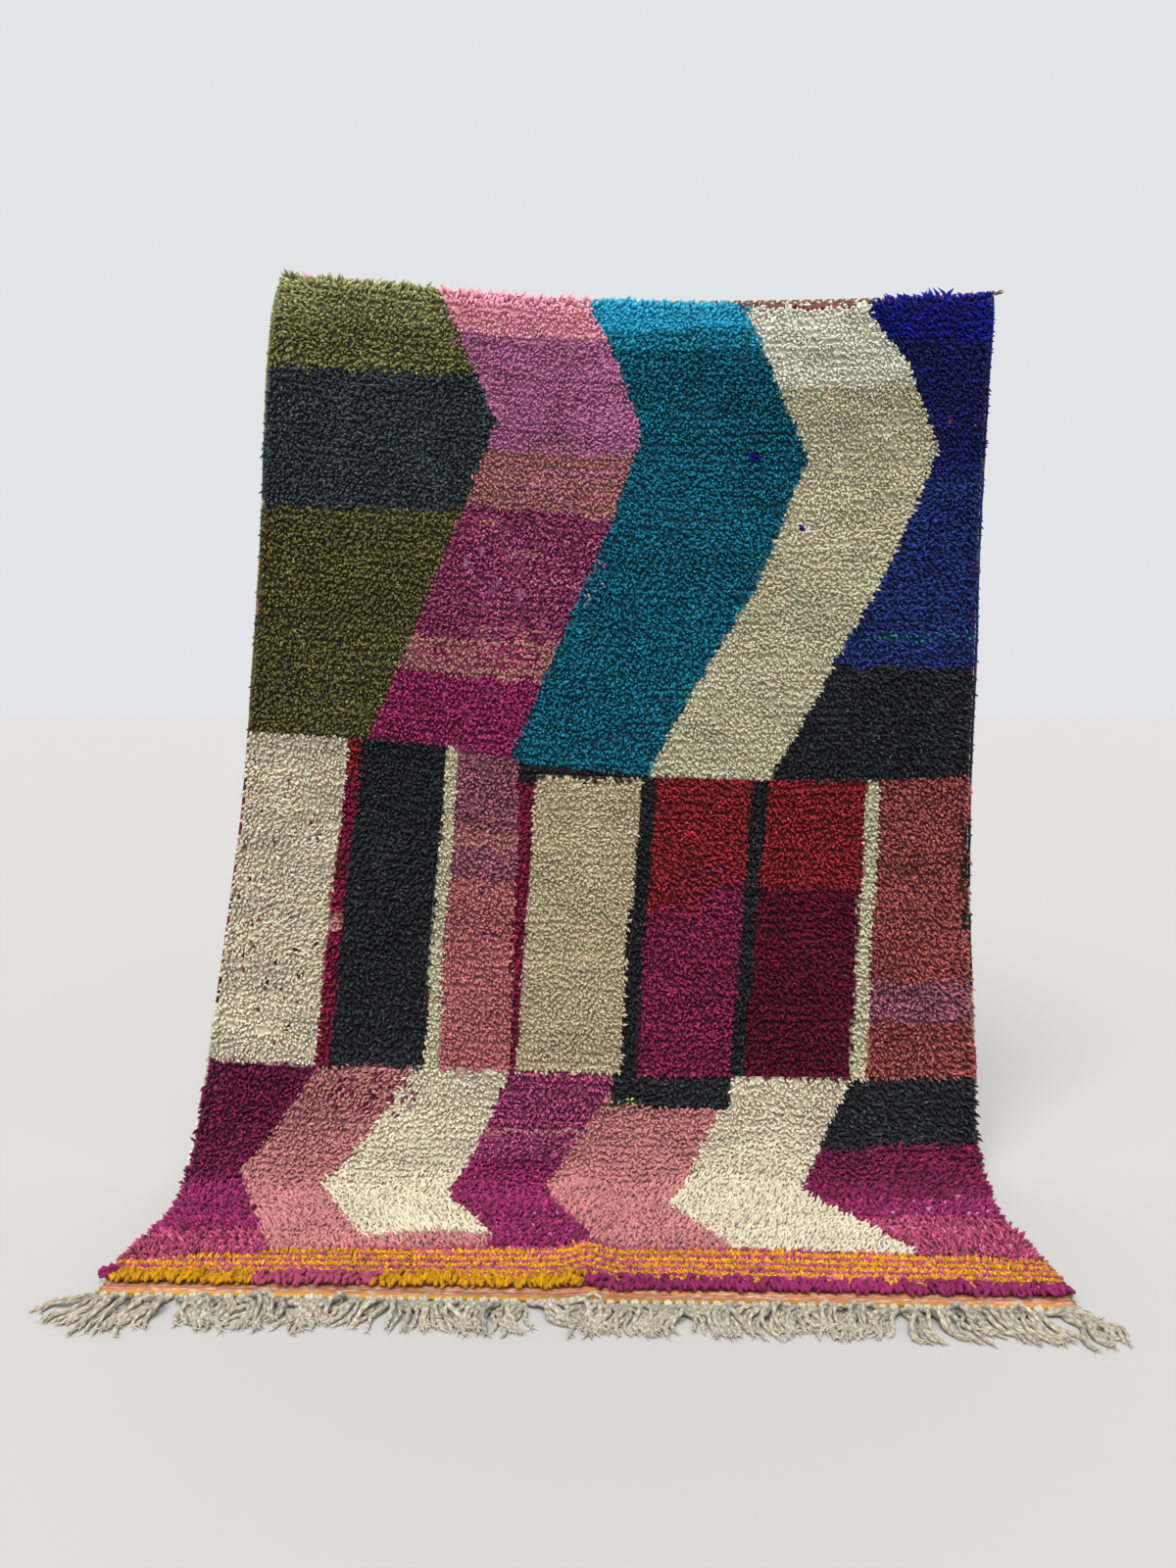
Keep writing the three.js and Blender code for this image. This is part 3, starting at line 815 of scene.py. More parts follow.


# Colours at the root, belly and tip of each tuft, with painted shade at the root, a painted highlight at
# the tip and painted glints on some dark tips
def tuftColours(across, along, yarn):
    brightness = yarnColours[yarn].mean(1)
    pale = smoothStep(brightness, *pile["paleFrom"])
    darkSpread, paleSpread = pile["spread"]
    colours = dyed(yarnColours[yarn], across, along, darkSpread + (paleSpread - darkSpread) * pale)
    flat = (1 - smoothStep(along, *pile["heel"]))[:, None]
    darkShades = pile["darkShades"] + flat * np.subtract(pile["floorShades"], pile["darkShades"])
    paleShades = pile["paleShades"] + flat * np.subtract(pile["paleFloorShades"], pile["paleShades"])
    shades = (1 - pale[:, None]) * darkShades + pale[:, None] * paleShades
    # painted glints: the tips of some dark tufts are painted brighter
    glintShare, glintTimes, glintMore = pile["glints"]
    glint = glintTimes + glintMore * (1 - smoothStep(brightness, *pile["blackTo"]))
    glintTips = (random.random(across.size) < glintShare) & (pale < 0.5)
    shades[:, 2] = shades[:, 2] * np.where(glintTips, glint, 1)
    return colours[:, None, :] * shades[:, :, None]


def makePile():
    across, along, half, yarn = tuftSpots()
    count = len(across)
    side, up, rim, top, bare = leanDirections(across, along, half)
    striped = stripedShare(across, along)
    share = across / half
    out, upward = clothAxes(share, along)
    sideways = np.array([1.0, 0.0, 0.0])
    leanSize = leanSizes(across, along, half, striped, top, bare)[:, None]
    lean = (side[:, None] * sideways + up[:, None] * upward) * leanSize
    tall = varied(count, 0.12, 0.70, 1.5)
    tall = tall + 0.5 * np.maximum(rim, top) * (random.random(count) < 0.10)
    tipLift = pile["tipLift"] + (pile["stripeTip"] - pile["tipLift"]) * striped
    bellyRise = (pile["bellyLift"] - pile["rootLift"]) * tall * (1 - 0.3 * striped)
    tipRise = (tipLift - pile["rootLift"]) * tall + layeredNoise(across, along, pile["lumps"])
    tipRise = tipRise - 0.003 * np.maximum(rim, top)
    root = clothPoint(share, along, pile["rootLift"])
    belly = root + out * bellyRise[:, None] + lean * 0.42
    tip = root + out * tipRise[:, None] + lean
    thick = varied(count, 0.12, 0.7, 1.4) * (1 + 0.15 * striped + 0.20 * top)
    radii = np.array(pile["radius"] + (0,))[None, :, None] * thick[:, None, None] * np.ones((1, 1, 3))
    turn = random.uniform(0, 2 * np.pi, count)[:, None]
    start = sideways * np.cos(turn) + upward * np.sin(turn)
    points, _ = tubes(np.stack([root, belly, tip], 1), radii, start[:, None, :])
    colours = tuftColours(across, along, yarn)
    made = []
    starts = [start for name, start in pile["pieces"]] + [math.inf]
    for (name, start), end in zip(pile["pieces"], starts[1:]):
        chosen = (along >= start) & (along < end)
        made.append(tuftPiece(name, points[chosen], colours[chosen]))
    return made


# Each tuft is a bud of two rings and a tip, and has its own small cell of the map
def tuftPiece(name, points, colours):
    count, rings, sides = points.shape[:3]
    buds = np.concatenate([points[:, :-1].reshape(count, -1, 3), points[:, -1, :1]], 1)
    budColours = np.concatenate([np.repeat(colours[:, :-1], sides, 1), colours[:, -1:]], 1)
    size = buds.shape[1]
    walls, tips = [], []
    for k in range(sides):
        after = (k + 1) % sides
        for r in range(rings - 2):
            walls.append([r * sides + k, r * sides + after, (r + 1) * sides + after, (r + 1) * sides + k])
        last = (rings - 2) * sides
        tips.append([last + k, last + after, size - 1])
    first = np.arange(count)[:, None, None] * size
    faces = (first + np.array(walls)).reshape(-1, 4).tolist()
    faces += (first + np.array(tips)).reshape(-1, 3).tolist()
    piece = meshPiece(name, buds, faces, pileWool)
    paint(piece.data, budColours)
    wallUv = np.array([[(k, r), (k + 1, r), (k + 1, r + 1), (k, r + 1)]
                       for k in range(sides) for r in range(rings - 2)]) / (sides, rings - 1)
    tipUv = np.array([[(k, rings - 2), (k + 1, rings - 2), (k + 0.5, rings - 1)]
                      for k in range(sides)]) / (sides, rings - 1)
    perRow = math.ceil(math.sqrt(count))
    cell = np.stack([np.arange(count) % perRow, np.arange(count) // perRow], -1)[:, None, None, :]

    def laidOut(scale, shift, place):
        parts = [np.broadcast_to(shape * scale + shift + place, (count,) + shape.shape).reshape(-1, 2)
                 for shape in (wallUv, tipUv)]
        return np.concatenate(parts)

    setUv(piece.data, "yarn", laidOut(1, 0, 0))
    setUv(piece.data, "OFBake", laidOut(0.9, 0.05, cell) / perRow)
    print(name, count, "tufts")
    return piece


# Long locks along the front, which hang over the pile's edge onto the end band
frontLocks = {
    # distance of each line of locks from the front end, how far it reaches forwards
    "lines": [(0.0410, 0.0130), (0.0375, 0.0150), (0.0340, 0.0145), (0.0305, 0.0100)],
    "pitch": 0.0062,
    "lift": 0.0045,
    "rise": 0.0135,
    "swing": 0.60,
    "curl": 1.1,
    "radii": (0.0026, 0.0036, 0.0036, 0.0030, 0),
    "sides": 4,
    # painted shade, from the root of each lock to its end: darkest at the root
    "shades": (0.35, 0.64, 0.90, 0.98, 0.94),
    "cornerWidth": 0.012,
    "cornerSwing": -1.2,
    "margin": 0.001,              # kept clear of the side edges
    # how much the locks differ
    "spread": {"across": 0.0014, "along": 0.0018, "reach": 0.24, "rise": 0.20, "thickness": 0.15,
               "colour": 0.15},
}


def makeFrontLocks():
    spread, margin = frontLocks["spread"], frontLocks["margin"]
    edge = halfWidthAt(np.array([0.03]))[0]
    columns = np.arange(-edge + 2 * margin, edge - margin, frontLocks["pitch"])
    across = np.tile(columns, len(frontLocks["lines"]))
    line = np.repeat(np.arange(len(frontLocks["lines"])), len(columns))
    count = across.size
    across = across + (line % 2) * frontLocks["pitch"] / 2 + random.normal(0, spread["across"], count)
    across = np.clip(across, -edge + margin, edge - margin)
    at, reach = np.array(frontLocks["lines"])[line].T
    along = at + random.normal(0, spread["along"], count)
    reach = reach * varied(count, spread["reach"], 0.5, 1.5)
    rise = frontLocks["rise"] * varied(count, spread["rise"], 0.6, 1.4) * (1 - 0.12 * line)
    share = across / halfWidthAt(along)
    out, upward = clothAxes(share, along)
    swing = random.normal(0, frontLocks["swing"], count) + 0.6 * softNoise(across, along, 0.035, 1, 131)
    curl = random.normal(0, frontLocks["curl"], count)
    # at the left corner a tail of purple wool points outwards
    corner = across < frontLocks["cornerWidth"] - edge
    swing = np.where(corner, frontLocks["cornerSwing"], swing)
    curl = np.where(corner, 0, curl)
    root = clothPoint(share, along, frontLocks["lift"])

    def step(forwards, up, turn):
        sideways = np.stack([np.sin(turn), 0 * turn, 0 * turn], -1)
        ahead = (sideways - upward * np.cos(turn)[:, None]) * (reach * forwards)[:, None]
        return ahead + out * (rise * up)[:, None]

    bow = root + step(0.62, 0.95, swing)
    end = bow + step(0.50, -0.55, swing + curl)
    centres = [root, root + step(0.22, 0.78, swing), bow, bow + step(0.30, -0.25, swing + curl * 0.5), end]
    thickness = varied(count, spread["thickness"], 0.7, 1.35)[:, None, None]
    radii = np.array(frontLocks["radii"])[None, :, None] * thickness * np.ones((1, 1, frontLocks["sides"]))
    points, _ = tubes(np.stack(centres, 1), radii, np.cross(out, step(1, 0, swing))[:, None, :])
    yarn = np.where(corner, yarnIndex["purple"], yarnBefore(across, stripedEnd["front"]))
    colours = dyed(yarnColours[yarn], across, along, spread["colour"])
    # painted shade along each lock, darkest at its root
    shades = np.array(frontLocks["shades"])[None, :, None]
    return tuftPiece("front_locks", points, colours[:, None, :] * shades)


pilePieces = makePile() + [makeFrontLocks()]

# The woven ground: knots in their yarns on the back, rows of weft between them

ground = {
    "knotsAcross": 110,
    "knotRows": 131,
    "start": 0.029,
    "thickness": 0.0105,       # woven ground and the dense feet of the tufts
    "rim": (0.004, 0.022),     # it thickens between these distances from the edges
    # painted shade on the pile side of the ground, seen in the gaps between the tufts: for dark and for
    # pale wool
    "darkShade": 0.26,
    "paleShade": 0.58,
    "weft": (138, 112, 92),
}


def makeGroundMaterial():
    material, tree, shader = newMaterial("wovenGround")
    place = uvSplit(tree, "weave")

    def ripple(socket, times, shift):
        turns = mathNode(tree, "MULTIPLY_ADD", socket, 2 * math.pi * times, shift)
        return mapRange(tree, mathNode(tree, "COSINE", turns), low=-1)

    rows = ripple(place["Y"], ground["knotRows"], math.pi)
    bumps = ripple(place["X"], 2 * ground["knotsAcross"], math.pi)
    picks = ripple(place["Y"], 4 * ground["knotRows"], 0)
    isKnot = mapRange(tree, rows, low=0.16, high=0.30)
    # the tones darken the colour between the knots and between the weft picks as painted shade; the same
    # tones give the relief
    knotTone = mapRange(tree, mathNode(tree, "MULTIPLY", rows, bumps), toLow=0.55, toHigh=1.1)
    weftTone = mapRange(tree, picks, toLow=0.75)
    weft = (*linear(ground["weft"]), 1)
    inputs = {"Factor": isKnot, "A": weft, "B": woolColour(tree)}
    colour = addNode(tree, "ShaderNodeMix", inputs, data_type="RGBA").outputs["Result"]
    inputs = {"Factor": isKnot, "A": weftTone, "B": knotTone}
    tone = addNode(tree, "ShaderNodeMix", inputs).outputs["Result"]
    fill(tree, shader, {
        "Base Color": scaled(tree, colour, tone),
        "Normal": relief(tree, tone, 0.8, 0.0012),
        "Roughness": 0.9,
        "Sheen Weight": 0.2,
    })
    return material


# A grid of Blender's own, with each point's share across and its distance from the front end
def clothGrid(name, columns, rows, start, end):
    bpy.ops.object.select_all(action="DESELECT")
    bpy.ops.mesh.primitive_grid_add(x_subdivisions=columns, y_subdivisions=rows, size=2)
    piece = bpy.context.object
    piece.name = piece.data.name = name
    flat = readAll(piece.data.vertices, "co", 3)
    return piece, flat[:, 0], start + (flat[:, 1] + 1) / 2 * (end - start)


def thicken(piece, thickness, offset, group=""):
    modifier = piece.modifiers.new("thickness", "SOLIDIFY")
    modifier.thickness = thickness
    modifier.offset = offset
    modifier.vertex_group = group
    bpy.ops.object.modifier_apply(modifier="thickness")


# Most of the map goes to the back, which shows, then come the pile's side and the rim
def groundUv(uv, facing):
    onBack, onPile = facing < -0.5, facing > 0.5
    left = np.where(onBack, 0.01, np.where(onPile, 0.81, 0.97))
    width = np.where(onBack, 0.78, np.where(onPile, 0.15, 0.02))
    return np.stack([left + uv[:, 0] * width, 0.005 + uv[:, 1] * 0.99], -1)


# The ground's colours: on the pile side and rim they carry painted shade, lighter where the cloth lies on
# the floor
def groundColours(share, along, facing):
    across = share * halfWidthAt(along)
    colours = dyed(yarnColours[patternAt(across, along)], across, along, 0.10)
    pale = smoothStep(colours.mean(1), *pile["paleFrom"])
    onFloor = 1 - smoothStep(along, *pile["heel"])
    dark = ground["darkShade"] + (ground["paleShade"] - ground["darkShade"]) * onFloor * 0.6
    shade = dark * (1 - pale) + ground["paleShade"] * pale
    return np.where((facing > -0.5)[:, None], colours * shade[:, None], colours)


def makeGround():
    start = ground["start"]
    piece, share, along = clothGrid(
        "woven_ground", ground["knotsAcross"], ground["knotRows"], start, clothLength)
    piece.data.vertices.foreach_set("co", clothPoint(share, along, 0.0).ravel())
    piece.data.uv_layers[0].name = "weave"
    # full thickness under the pile, thinner at the rim
    fromRim = np.minimum((1 - np.abs(share)) * 0.64, np.minimum(along, clothLength - along))
    rimShare = cloth["edgeThickness"] / ground["thickness"]
    group = piece.vertex_groups.new(name="full")
    for k, weight in enumerate(rimShare + (1 - rimShare) * smoothStep(fromRim, *ground["rim"])):
        group.add([k], float(weight), "REPLACE")
    thicken(piece, ground["thickness"], 1, "full")
    piece.vertex_groups.clear()
    mesh = piece.data
    uv = readAll(mesh.uv_layers["weave"].data, "uv", 2)
    _, totals, faceOf = faceCorners(mesh)
    middle = np.stack([np.bincount(faceOf, uv[:, k]) for k in range(2)], -1) / totals[:, None]
    along = start + middle[:, 1] * (clothLength - start)
    share = middle[:, 0] * 2 - 1
    out, _ = clothAxes(share, along)
    facing = np.sum(out * readAll(mesh.polygons, "normal", 3), -1)
    paint(mesh, groundColours(share, along, facing)[faceOf], "CORNER")
    setUv(mesh, "OFBake", groundUv(uv, facing[faceOf]))
    mesh.materials.append(groundWool)
    mesh.materials.append(makeGroundMaterial())
    mesh.polygons.foreach_set("material_index", (facing < -0.5).astype(int))
    bpy.ops.object.shade_smooth()
    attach(piece, "root")
    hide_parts("pile_cloth")
    print("woven ground", len(mesh.polygons), "faces")
    return piece


wovenGround = makeGround()

# The flat-woven end band: ribs of weft over the warps

endBand = {
    "stations": (200, 28),
    "thickness": 0.0030,
    "lift": 0.0044,
    "ribPitch": 0.0021,
    "ribDepth": 0.0007,
    "warpDepth": 0.0004,
    "warpPitch": 0.0060,
    "waves": [(0.0006, 0.02, 0.01, 91)],
    "rowWander": [(0.0008, 0.05, 1.0, 92)],
    "length": 0.034,
    # rows of weft: distance from the front end, colour
    "rows": [(0.0074, "ochre"), (0.0094, "apricot"), (0.0105, "magenta"), (0.0147, "apricot"),
             (0.0168, "dustyRose"), (0.0210, "apricot"), (0.0231, "ochre"), (1, "apricot")],
    "creamShare": 0.16,
}


def makeEndBand():
    piece, share, along = clothGrid("end_band", *endBand["stations"], 0, endBand["length"])
    across = share * halfWidthAt(along)
    ribs = along / endBand["ribPitch"]
    warpWave = np.cos(across / endBand["warpPitch"] * 2 * np.pi + np.pi * np.round(ribs))
    lift = endBand["lift"] + endBand["ribDepth"] * np.cos(ribs * 2 * np.pi) / 2
    lift = lift + endBand["warpDepth"] * warpWave + layeredNoise(across, along, endBand["waves"])
    piece.data.vertices.foreach_set("co", clothPoint(share, along, lift).ravel())
    piece.data.uv_layers[0].name = "yarn"
    yarn = yarnBefore(along + layeredNoise(across, along, endBand["rowWander"]), endBand["rows"])
    speck = (random.random(across.shape) < endBand["creamShare"]) & (yarn == yarnIndex["apricot"])
    yarn = np.where(speck, yarnIndex["cream"], yarn)
    paint(piece.data, dyed(yarnColours[yarn], across, along, 0.12))
    thicken(piece, endBand["thickness"], -1)
    piece.data.materials.append(edgeWool)
    bpy.ops.object.shade_smooth()
    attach(piece, "root")
    return piece


endBandPiece = makeEndBand()
print("end band made")

# Side edges: warps overcast with wool in changing colours

selvedge = {
    "radius": 0.0029,
    "gap": 0.0003,
    "ringStep": 0.0015,
    "sides": 8,
    "wrapPitch": 0.0048,
    "wrapDepth": 0.17,
    "wrapSlant": 0.12,
    "clear": 1.12,                # times the radius, room for the wool that bulges
    "turnLength": 0.012,
    # yarns from the front end upwards, with the length that each covers
    "left": [("cream", 0.13), ("plum", 0.03), ("cream", 0.20), ("creamPale", 0.10), ("purple", 0.03),
             ("cream", 0.14), ("black", 0.05), ("dustyRose", 0.02), ("crimson", 0.08), ("navy", 0.05),
             ("crimson", 0.07), ("cream", 0.02), ("crimson", 0.08), ("black", 0.04),
             ("dustySalmon", 0.03), ("oliveDark", 0.09), ("magenta", 0.03), ("oliveDark", 0.10),
             ("cobalt", 0.02), ("salmon", 0.03), ("oliveDark", 0.06), ("orange", 0.02),
             ("slate", 0.08), ("cream", 0.02), ("slate", 0.12), ("olive", 0.50)],
    "right": [("cream", 0.20), ("plum", 0.06), ("cream", 0.18), ("creamPale", 0.10), ("dustyRose", 0.06),
              ("cream", 0.10), ("black", 0.12), ("cream", 0.05), ("black", 0.10), ("crimson", 0.06),
              ("dustySalmon", 0.02), ("charcoal", 0.19), ("crimson", 0.03), ("navy", 0.16), ("brown", 0.04),
              ("navy", 0.14), ("brown", 0.03), ("navy", 0.30)],
}


def makeSelvedge(side, yarnList, name, node):
    along = np.arange(0.002, clothLength - 0.001, selvedge["ringStep"])
    wander = 0.0005 * lineNoise(along, 0.02, 101 + side)
    room = selvedge["radius"] * selvedge["clear"]
    aside = side * (selvedge["gap"] + room) + wander
    centres = clothPoint(float(side), along, room + 0.0006 + np.abs(wander), aside)
    angle = 2 * np.pi * np.arange(selvedge["sides"]) / selvedge["sides"]
    turns = along / selvedge["wrapPitch"] + 0.35 * lineNoise(along, 0.011, 103 + side)
    ridge = np.abs(np.cos(np.pi * (turns[:, None] + selvedge["wrapSlant"] * np.cos(angle))))
    uneven = 1 + 0.06 * lineNoise(np.floor(turns), 1.0, 105 + side)
    radii = selvedge["radius"] * (1 - selvedge["wrapDepth"] * (1 - ridge)) * uneven[:, None]
    out, _ = clothAxes(np.full(along.shape, float(side)), along)
    points, index = tubes(centres[None], radii[None], out[None])
    piece = meshPiece(name, points, capped(index), edgeWool)
    names, lengths = zip(*yarnList)
    yarn = yarnBefore(np.floor(turns) * selvedge["wrapPitch"], list(zip(np.cumsum(lengths), names)))
    colours = dyed(yarnColours[yarn], along * 0 + side, along, 0.06)
    # painted shade in the grooves between the wraps
    colours = colours * (0.45 + 0.55 * ridge.mean(1))[:, None]
    paint(piece.data, np.repeat(colours[:, None, :], selvedge["sides"], 1))
    setYarnUv(piece.data, index, selvedge["turnLength"], along[-1] - along[0])
    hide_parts(node)
    print(name, len(along), "rings")
    return piece


# The yarn's map: once round in X, and along it in turns in Y
def setYarnUv(mesh, index, turnLength, length):
    count, rings, sides = index.shape
    vertices = readAll(mesh.loops, "vertex_index", kind=int)
    side = vertices % sides
    ring = vertices // sides % rings
    starts, totals, faceOf = faceCorners(mesh)
    highest = np.maximum.reduceat(side, starts)[faceOf]
    wraps = (highest == sides - 1) & (side == 0) & (totals[faceOf] == 4)
    u = np.where(wraps, sides, side) / sides
    setUv(mesh, "yarn", np.stack([u, ring / (rings - 1) * length / turnLength], -1))


leftSelvedge = makeSelvedge(-1, selvedge["left"], "overcast_left", "selvedge_left")
rightSelvedge = makeSelvedge(1, selvedge["right"], "overcast_right", "selvedge_right")

# Three-strand braid along the top end, with its loose end past the right corner

topBraid = {
    "stations": 460,
    "sides": 7,
    "strandRadius": 0.0027,
    "swing": 0.0027,
    "depth": 0.0011,
    "pitch": 0.021,
    "lift": 0.0035,
    "beyond": 0.0040,
    "tip": 0.024,
    "tipRise": 0.22,
    "turnLength": 0.008,
    "yarns": ["brown", "warp", "brown"],
    "reddish": (150, 70, 58),     # stretches of the last strand
}


def makeTopBraid():
    length = rowShapeAt("width", np.array([clothLength]))[0]
    travel = np.linspace(0, length + topBraid["tip"], topBraid["stations"])
    share = np.clip(travel / length * 2 - 1, -1, 1)
    past = np.maximum(travel - length, 0)
    fade = 1 - 0.3 * smoothStep(past, 0.008, topBraid["tip"])
    strand = np.arange(3)[:, None]
    phase = 2 * np.pi * (travel / topBraid["pitch"] + strand / 3)
    beyond = topBraid["beyond"] + topBraid["swing"] * np.sin(phase) * fade + past * topBraid["tipRise"]
    lift = topBraid["lift"] + topBraid["depth"] * np.sin(2 * phase) * fade
    centres = clothPoint(share, clothLength, lift, past, beyond)
    thin = 1 - 0.2 * smoothStep(past, 0.010, topBraid["tip"])
    radii = topBraid["strandRadius"] * thin[None, :, None] * np.ones((3, 1, topBraid["sides"]))
    points, index = tubes(centres, radii, np.array([0.0, -1.0, 0.3]))
    piece = meshPiece("top_braid", points, capped(index), edgeWool)
    numbers = [yarnIndex[yarn] for yarn in topBraid["yarns"]]
    colours = np.repeat(yarnColours[numbers][:, None, :], len(travel), 1)
    wear = 1 + 0.18 * softNoise(travel + strand * 0, strand + travel * 0, 0.01, 0.5, 111)
    reddish = (lineNoise(travel, 0.03, 112) > 0.45) & (strand == 2)
    colours = np.where(reddish[..., None], linear(topBraid["reddish"]), colours) * wear[..., None]
    paint(piece.data, np.repeat(colours[:, :, None, :], topBraid["sides"], 2))
    setYarnUv(piece.data, index, topBraid["turnLength"], length)
    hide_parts("top_cord")
    return piece


topBraidPiece = makeTopBraid()
print("top braid made")

# The fringe: warps knotted in bundles along the end band, their loose ends lying on the floor

fringe = {
    "knots": 84,
    "knotWidth": 0.0064,
    "knotDepth": 0.0060,
    "knotHeight": 0.0046,
    "knotBeyond": 0.0085,
    "knotRings": 7,
    "knotSides": 10,
    "knotPlies": (3, 3.2, 0.13),  # how many, their twist from end to end, and their depth
    "strandsPerKnot": 5,
    "spacing": 0.0029,
    "length": 0.064,
    "radius": 0.0031,
    "rings": 13,
    "sides": 7,
    "plyTurn": 0.018,
    "plyDepth": 0.22,
    "sway": 0.80,
    "splay": 1.00,
    "cornerLength": 0.22,         # the strands at the corners are longer by this share
    "curl": 0.50,
    "wave": 0.65,
    "pile": 0.0065,               # how high the strands ride over each other
    "turnLength": 0.011,
    # how much the strands differ, and the knots of which they are part
    "spread": {"knot": 0.0035, "heading": 0.06, "length": 0.10, "bow": 0.10, "wave": 0.12, "phase": 0.25,
               "thickness": 0.10, "height": 0.001, "knotBow": 0.35, "knotPhase": 0.5},
    "frayFibres": 3,
    "frayLength": 0.010,
    "frayRadii": (0.0010, 0.0009, 0.0004),
    "fraySplay": 0.55,
}


upwards = np.array([0.0, 0.0, 1.0])


def knotSpots():
    count = fringe["knots"]
    share = -1 + (np.arange(count) + 0.5) * 2 / count + random.normal(0, fringe["spread"]["knot"], count)
    return share, clothPoint(share, 0.0, 0.0, 0.0, -fringe["knotBeyond"])


def makeKnots(spots):
    rings, sides = fringe["knotRings"], fringe["knotSides"]
    count = len(spots)
    lat = (np.pi * np.arange(1, rings + 1) / (rings + 1))[None, :, None]
    lon = 2 * np.pi * np.arange(sides) / sides
    turn = random.uniform(0, 2 * np.pi, count)[:, None, None]
    plies, twist, depth = fringe["knotPlies"]
    ridge = 1 + depth * np.cos(plies * lon + twist * lat + turn)
    size = random.normal(1, 0.10, count)[:, None, None]
    x = np.cos(lat) * fringe["knotWidth"] * size * np.ones((1, 1, sides))
    y = np.sin(lat) * np.cos(lon) * fringe["knotDepth"] * size * ridge
    z = np.sin(lat) * np.sin(lon) * fringe["knotHeight"] * size * ridge
    centre = spots.copy()
    centre[:, 2] = fringe["knotHeight"] + 0.0008
    return aboveFloor(np.stack([x, y, z], -1) + centre[:, None, None, :], 0.0004)


def aboveFloor(points, clearance):
    points[..., 2] = np.maximum(points[..., 2], clearance)
    return points


# The paths of the strands, and how thick each is: neighbours lie the same way
def strandPaths(share, spots):
    perKnot, rings, spread = fringe["strandsPerKnot"], fringe["rings"], fringe["spread"]
    knots = len(share)
    count = knots * perKnot
    knot = np.repeat(np.arange(knots), perKnot)
    order = np.tile(np.arange(perKnot) - (perKnot - 1) / 2, knots)
    near = share / 0.05
    clump = fringe["sway"] * (lineNoise(share, 0.085, 121) + 0.9 * lineNoise(share, 0.035, 122))
    heading = clump[knot] + fringe["splay"] * share[knot] ** 5 + 0.07 * order
    heading = heading + random.normal(0, spread["heading"], count)
    length = fringe["length"] * varied(count, spread["length"], 0.70, 1.20)
    length = length * (1 + fringe["cornerLength"] * share[knot] ** 6)
    s = np.linspace(0, 1, rings)
    # the strands of a knot bow and wave together
    bow = fringe["curl"] * (lineNoise(near, 1.2, 123) + random.normal(0, spread["knotBow"], knots))
    phase = 2.5 * lineNoise(near, 1.6, 124) + random.normal(0, spread["knotPhase"], knots)
    bow = (bow[knot] + random.normal(0, spread["bow"], count))[:, None] * np.sin(np.pi * s * 0.9)
    size = (fringe["wave"] * (0.6 + 0.5 * random.random(knots)))[knot]
    size = (size + random.normal(0, spread["wave"], count))[:, None]
    phase = (phase[knot] + random.normal(0, spread["phase"], count))[:, None]
    waves = size * (np.sin(2.6 * np.pi * s + phase) - np.sin(phase) * (1 - s))
    angle = heading[:, None] + bow + waves * smoothStep(s, 0.0, 0.3)
    step = length[:, None] / (rings - 1)
    x = spots[knot, 0][:, None] + order[:, None] * fringe["spacing"] + np.cumsum(np.sin(angle) * step, 1)
    y = spots[knot, 1][:, None] + 0.001 - np.cumsum(np.cos(angle) * step, 1)
    thick = fringe["radius"] * varied(count, spread["thickness"], 0.75, 1.3)
    over = np.abs(random.normal(0, fringe["pile"], count))
    startHeight = fringe["knotHeight"] + random.normal(0, spread["height"], count)
    settle = smoothStep(s, 0.0, 0.45)
    hump = np.sin(np.pi * np.clip(s * 1.15, 0, 1)) ** 1.3
    z = startHeight[:, None] * (1 - settle) + thick[:, None] * 1.02 * settle + over[:, None] * hump
    return np.stack([x, y, np.maximum(z, thick[:, None])], -1), thick, length


def makeStrands(centres, thick, length):
    count, rings, sides = len(thick), fringe["rings"], fringe["sides"]
    s = np.linspace(0, 1, rings)
    around = 2 * np.pi * np.arange(sides) / sides
    twist = 2 * np.pi * length[:, None] * s / fringe["plyTurn"] + random.uniform(0, 6.28, count)[:, None]
    ply = 1 - fringe["plyDepth"] * (0.5 - 0.5 * np.cos(2 * (around - twist[..., None])))
    taper = 1 - 0.12 * s ** 3
    radii = thick[:, None, None] * ply * taper[:, None] * 1.08
    points, index = tubes(centres, radii, upwards)
    tone = linear(yarns["warp"]) * np.clip(random.normal(0.95, 0.10, count), 0.7, 1.2)[:, None]
    grey = random.uniform(0, 1, count)[:, None]
    tone = tone * (1 - grey * np.array([0.12, 0.09, 0.02]))
    # painted shade in the grooves between the plies
    crease = 0.45 + 0.55 * (ply - ply.min()) / (ply.max() - ply.min())
    towardsEnd = 1.06 - 0.10 * (1 - s) ** 2
    piece = meshPiece("fringe_strands", aboveFloor(points, 0.0003), capped(index), warpWool)
    paint(piece.data, tone[:, None, None, :] * crease[..., None] * towardsEnd[:, None, None])
    setYarnUv(piece.data, index, fringe["turnLength"], fringe["length"])
    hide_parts("warp_fringe")
    return piece, tone


def makeKnotPiece(knotPoints):
    count, rings, sides = knotPoints.shape[:3]
    index = np.arange(count * rings * sides).reshape(count, rings, sides)
    walls = np.roll(ringWalls(index)[:, ::-1], 1, axis=1)      # these rings run the other way round
    faces = walls.tolist() + index[:, 0].tolist() + index[:, -1, ::-1].tolist()
    piece = meshPiece("fringe_knots", knotPoints, faces, warpWool)
    lon = 2 * np.pi * np.arange(sides) / sides
    tone = linear(yarns["warp"]) * random.normal(0.88, 0.08, count)[:, None]
    # painted shade on the underside of each knot
    low = 0.65 + 0.35 * np.clip(np.sin(lon) + 0.6, 0, 1)
    paint(piece.data, tone[:, None, None, :] * low[:, None] * np.ones((1, rings, 1, 1)))
    setYarnUv(piece.data, index, 0.006, 0.016)
    return piece


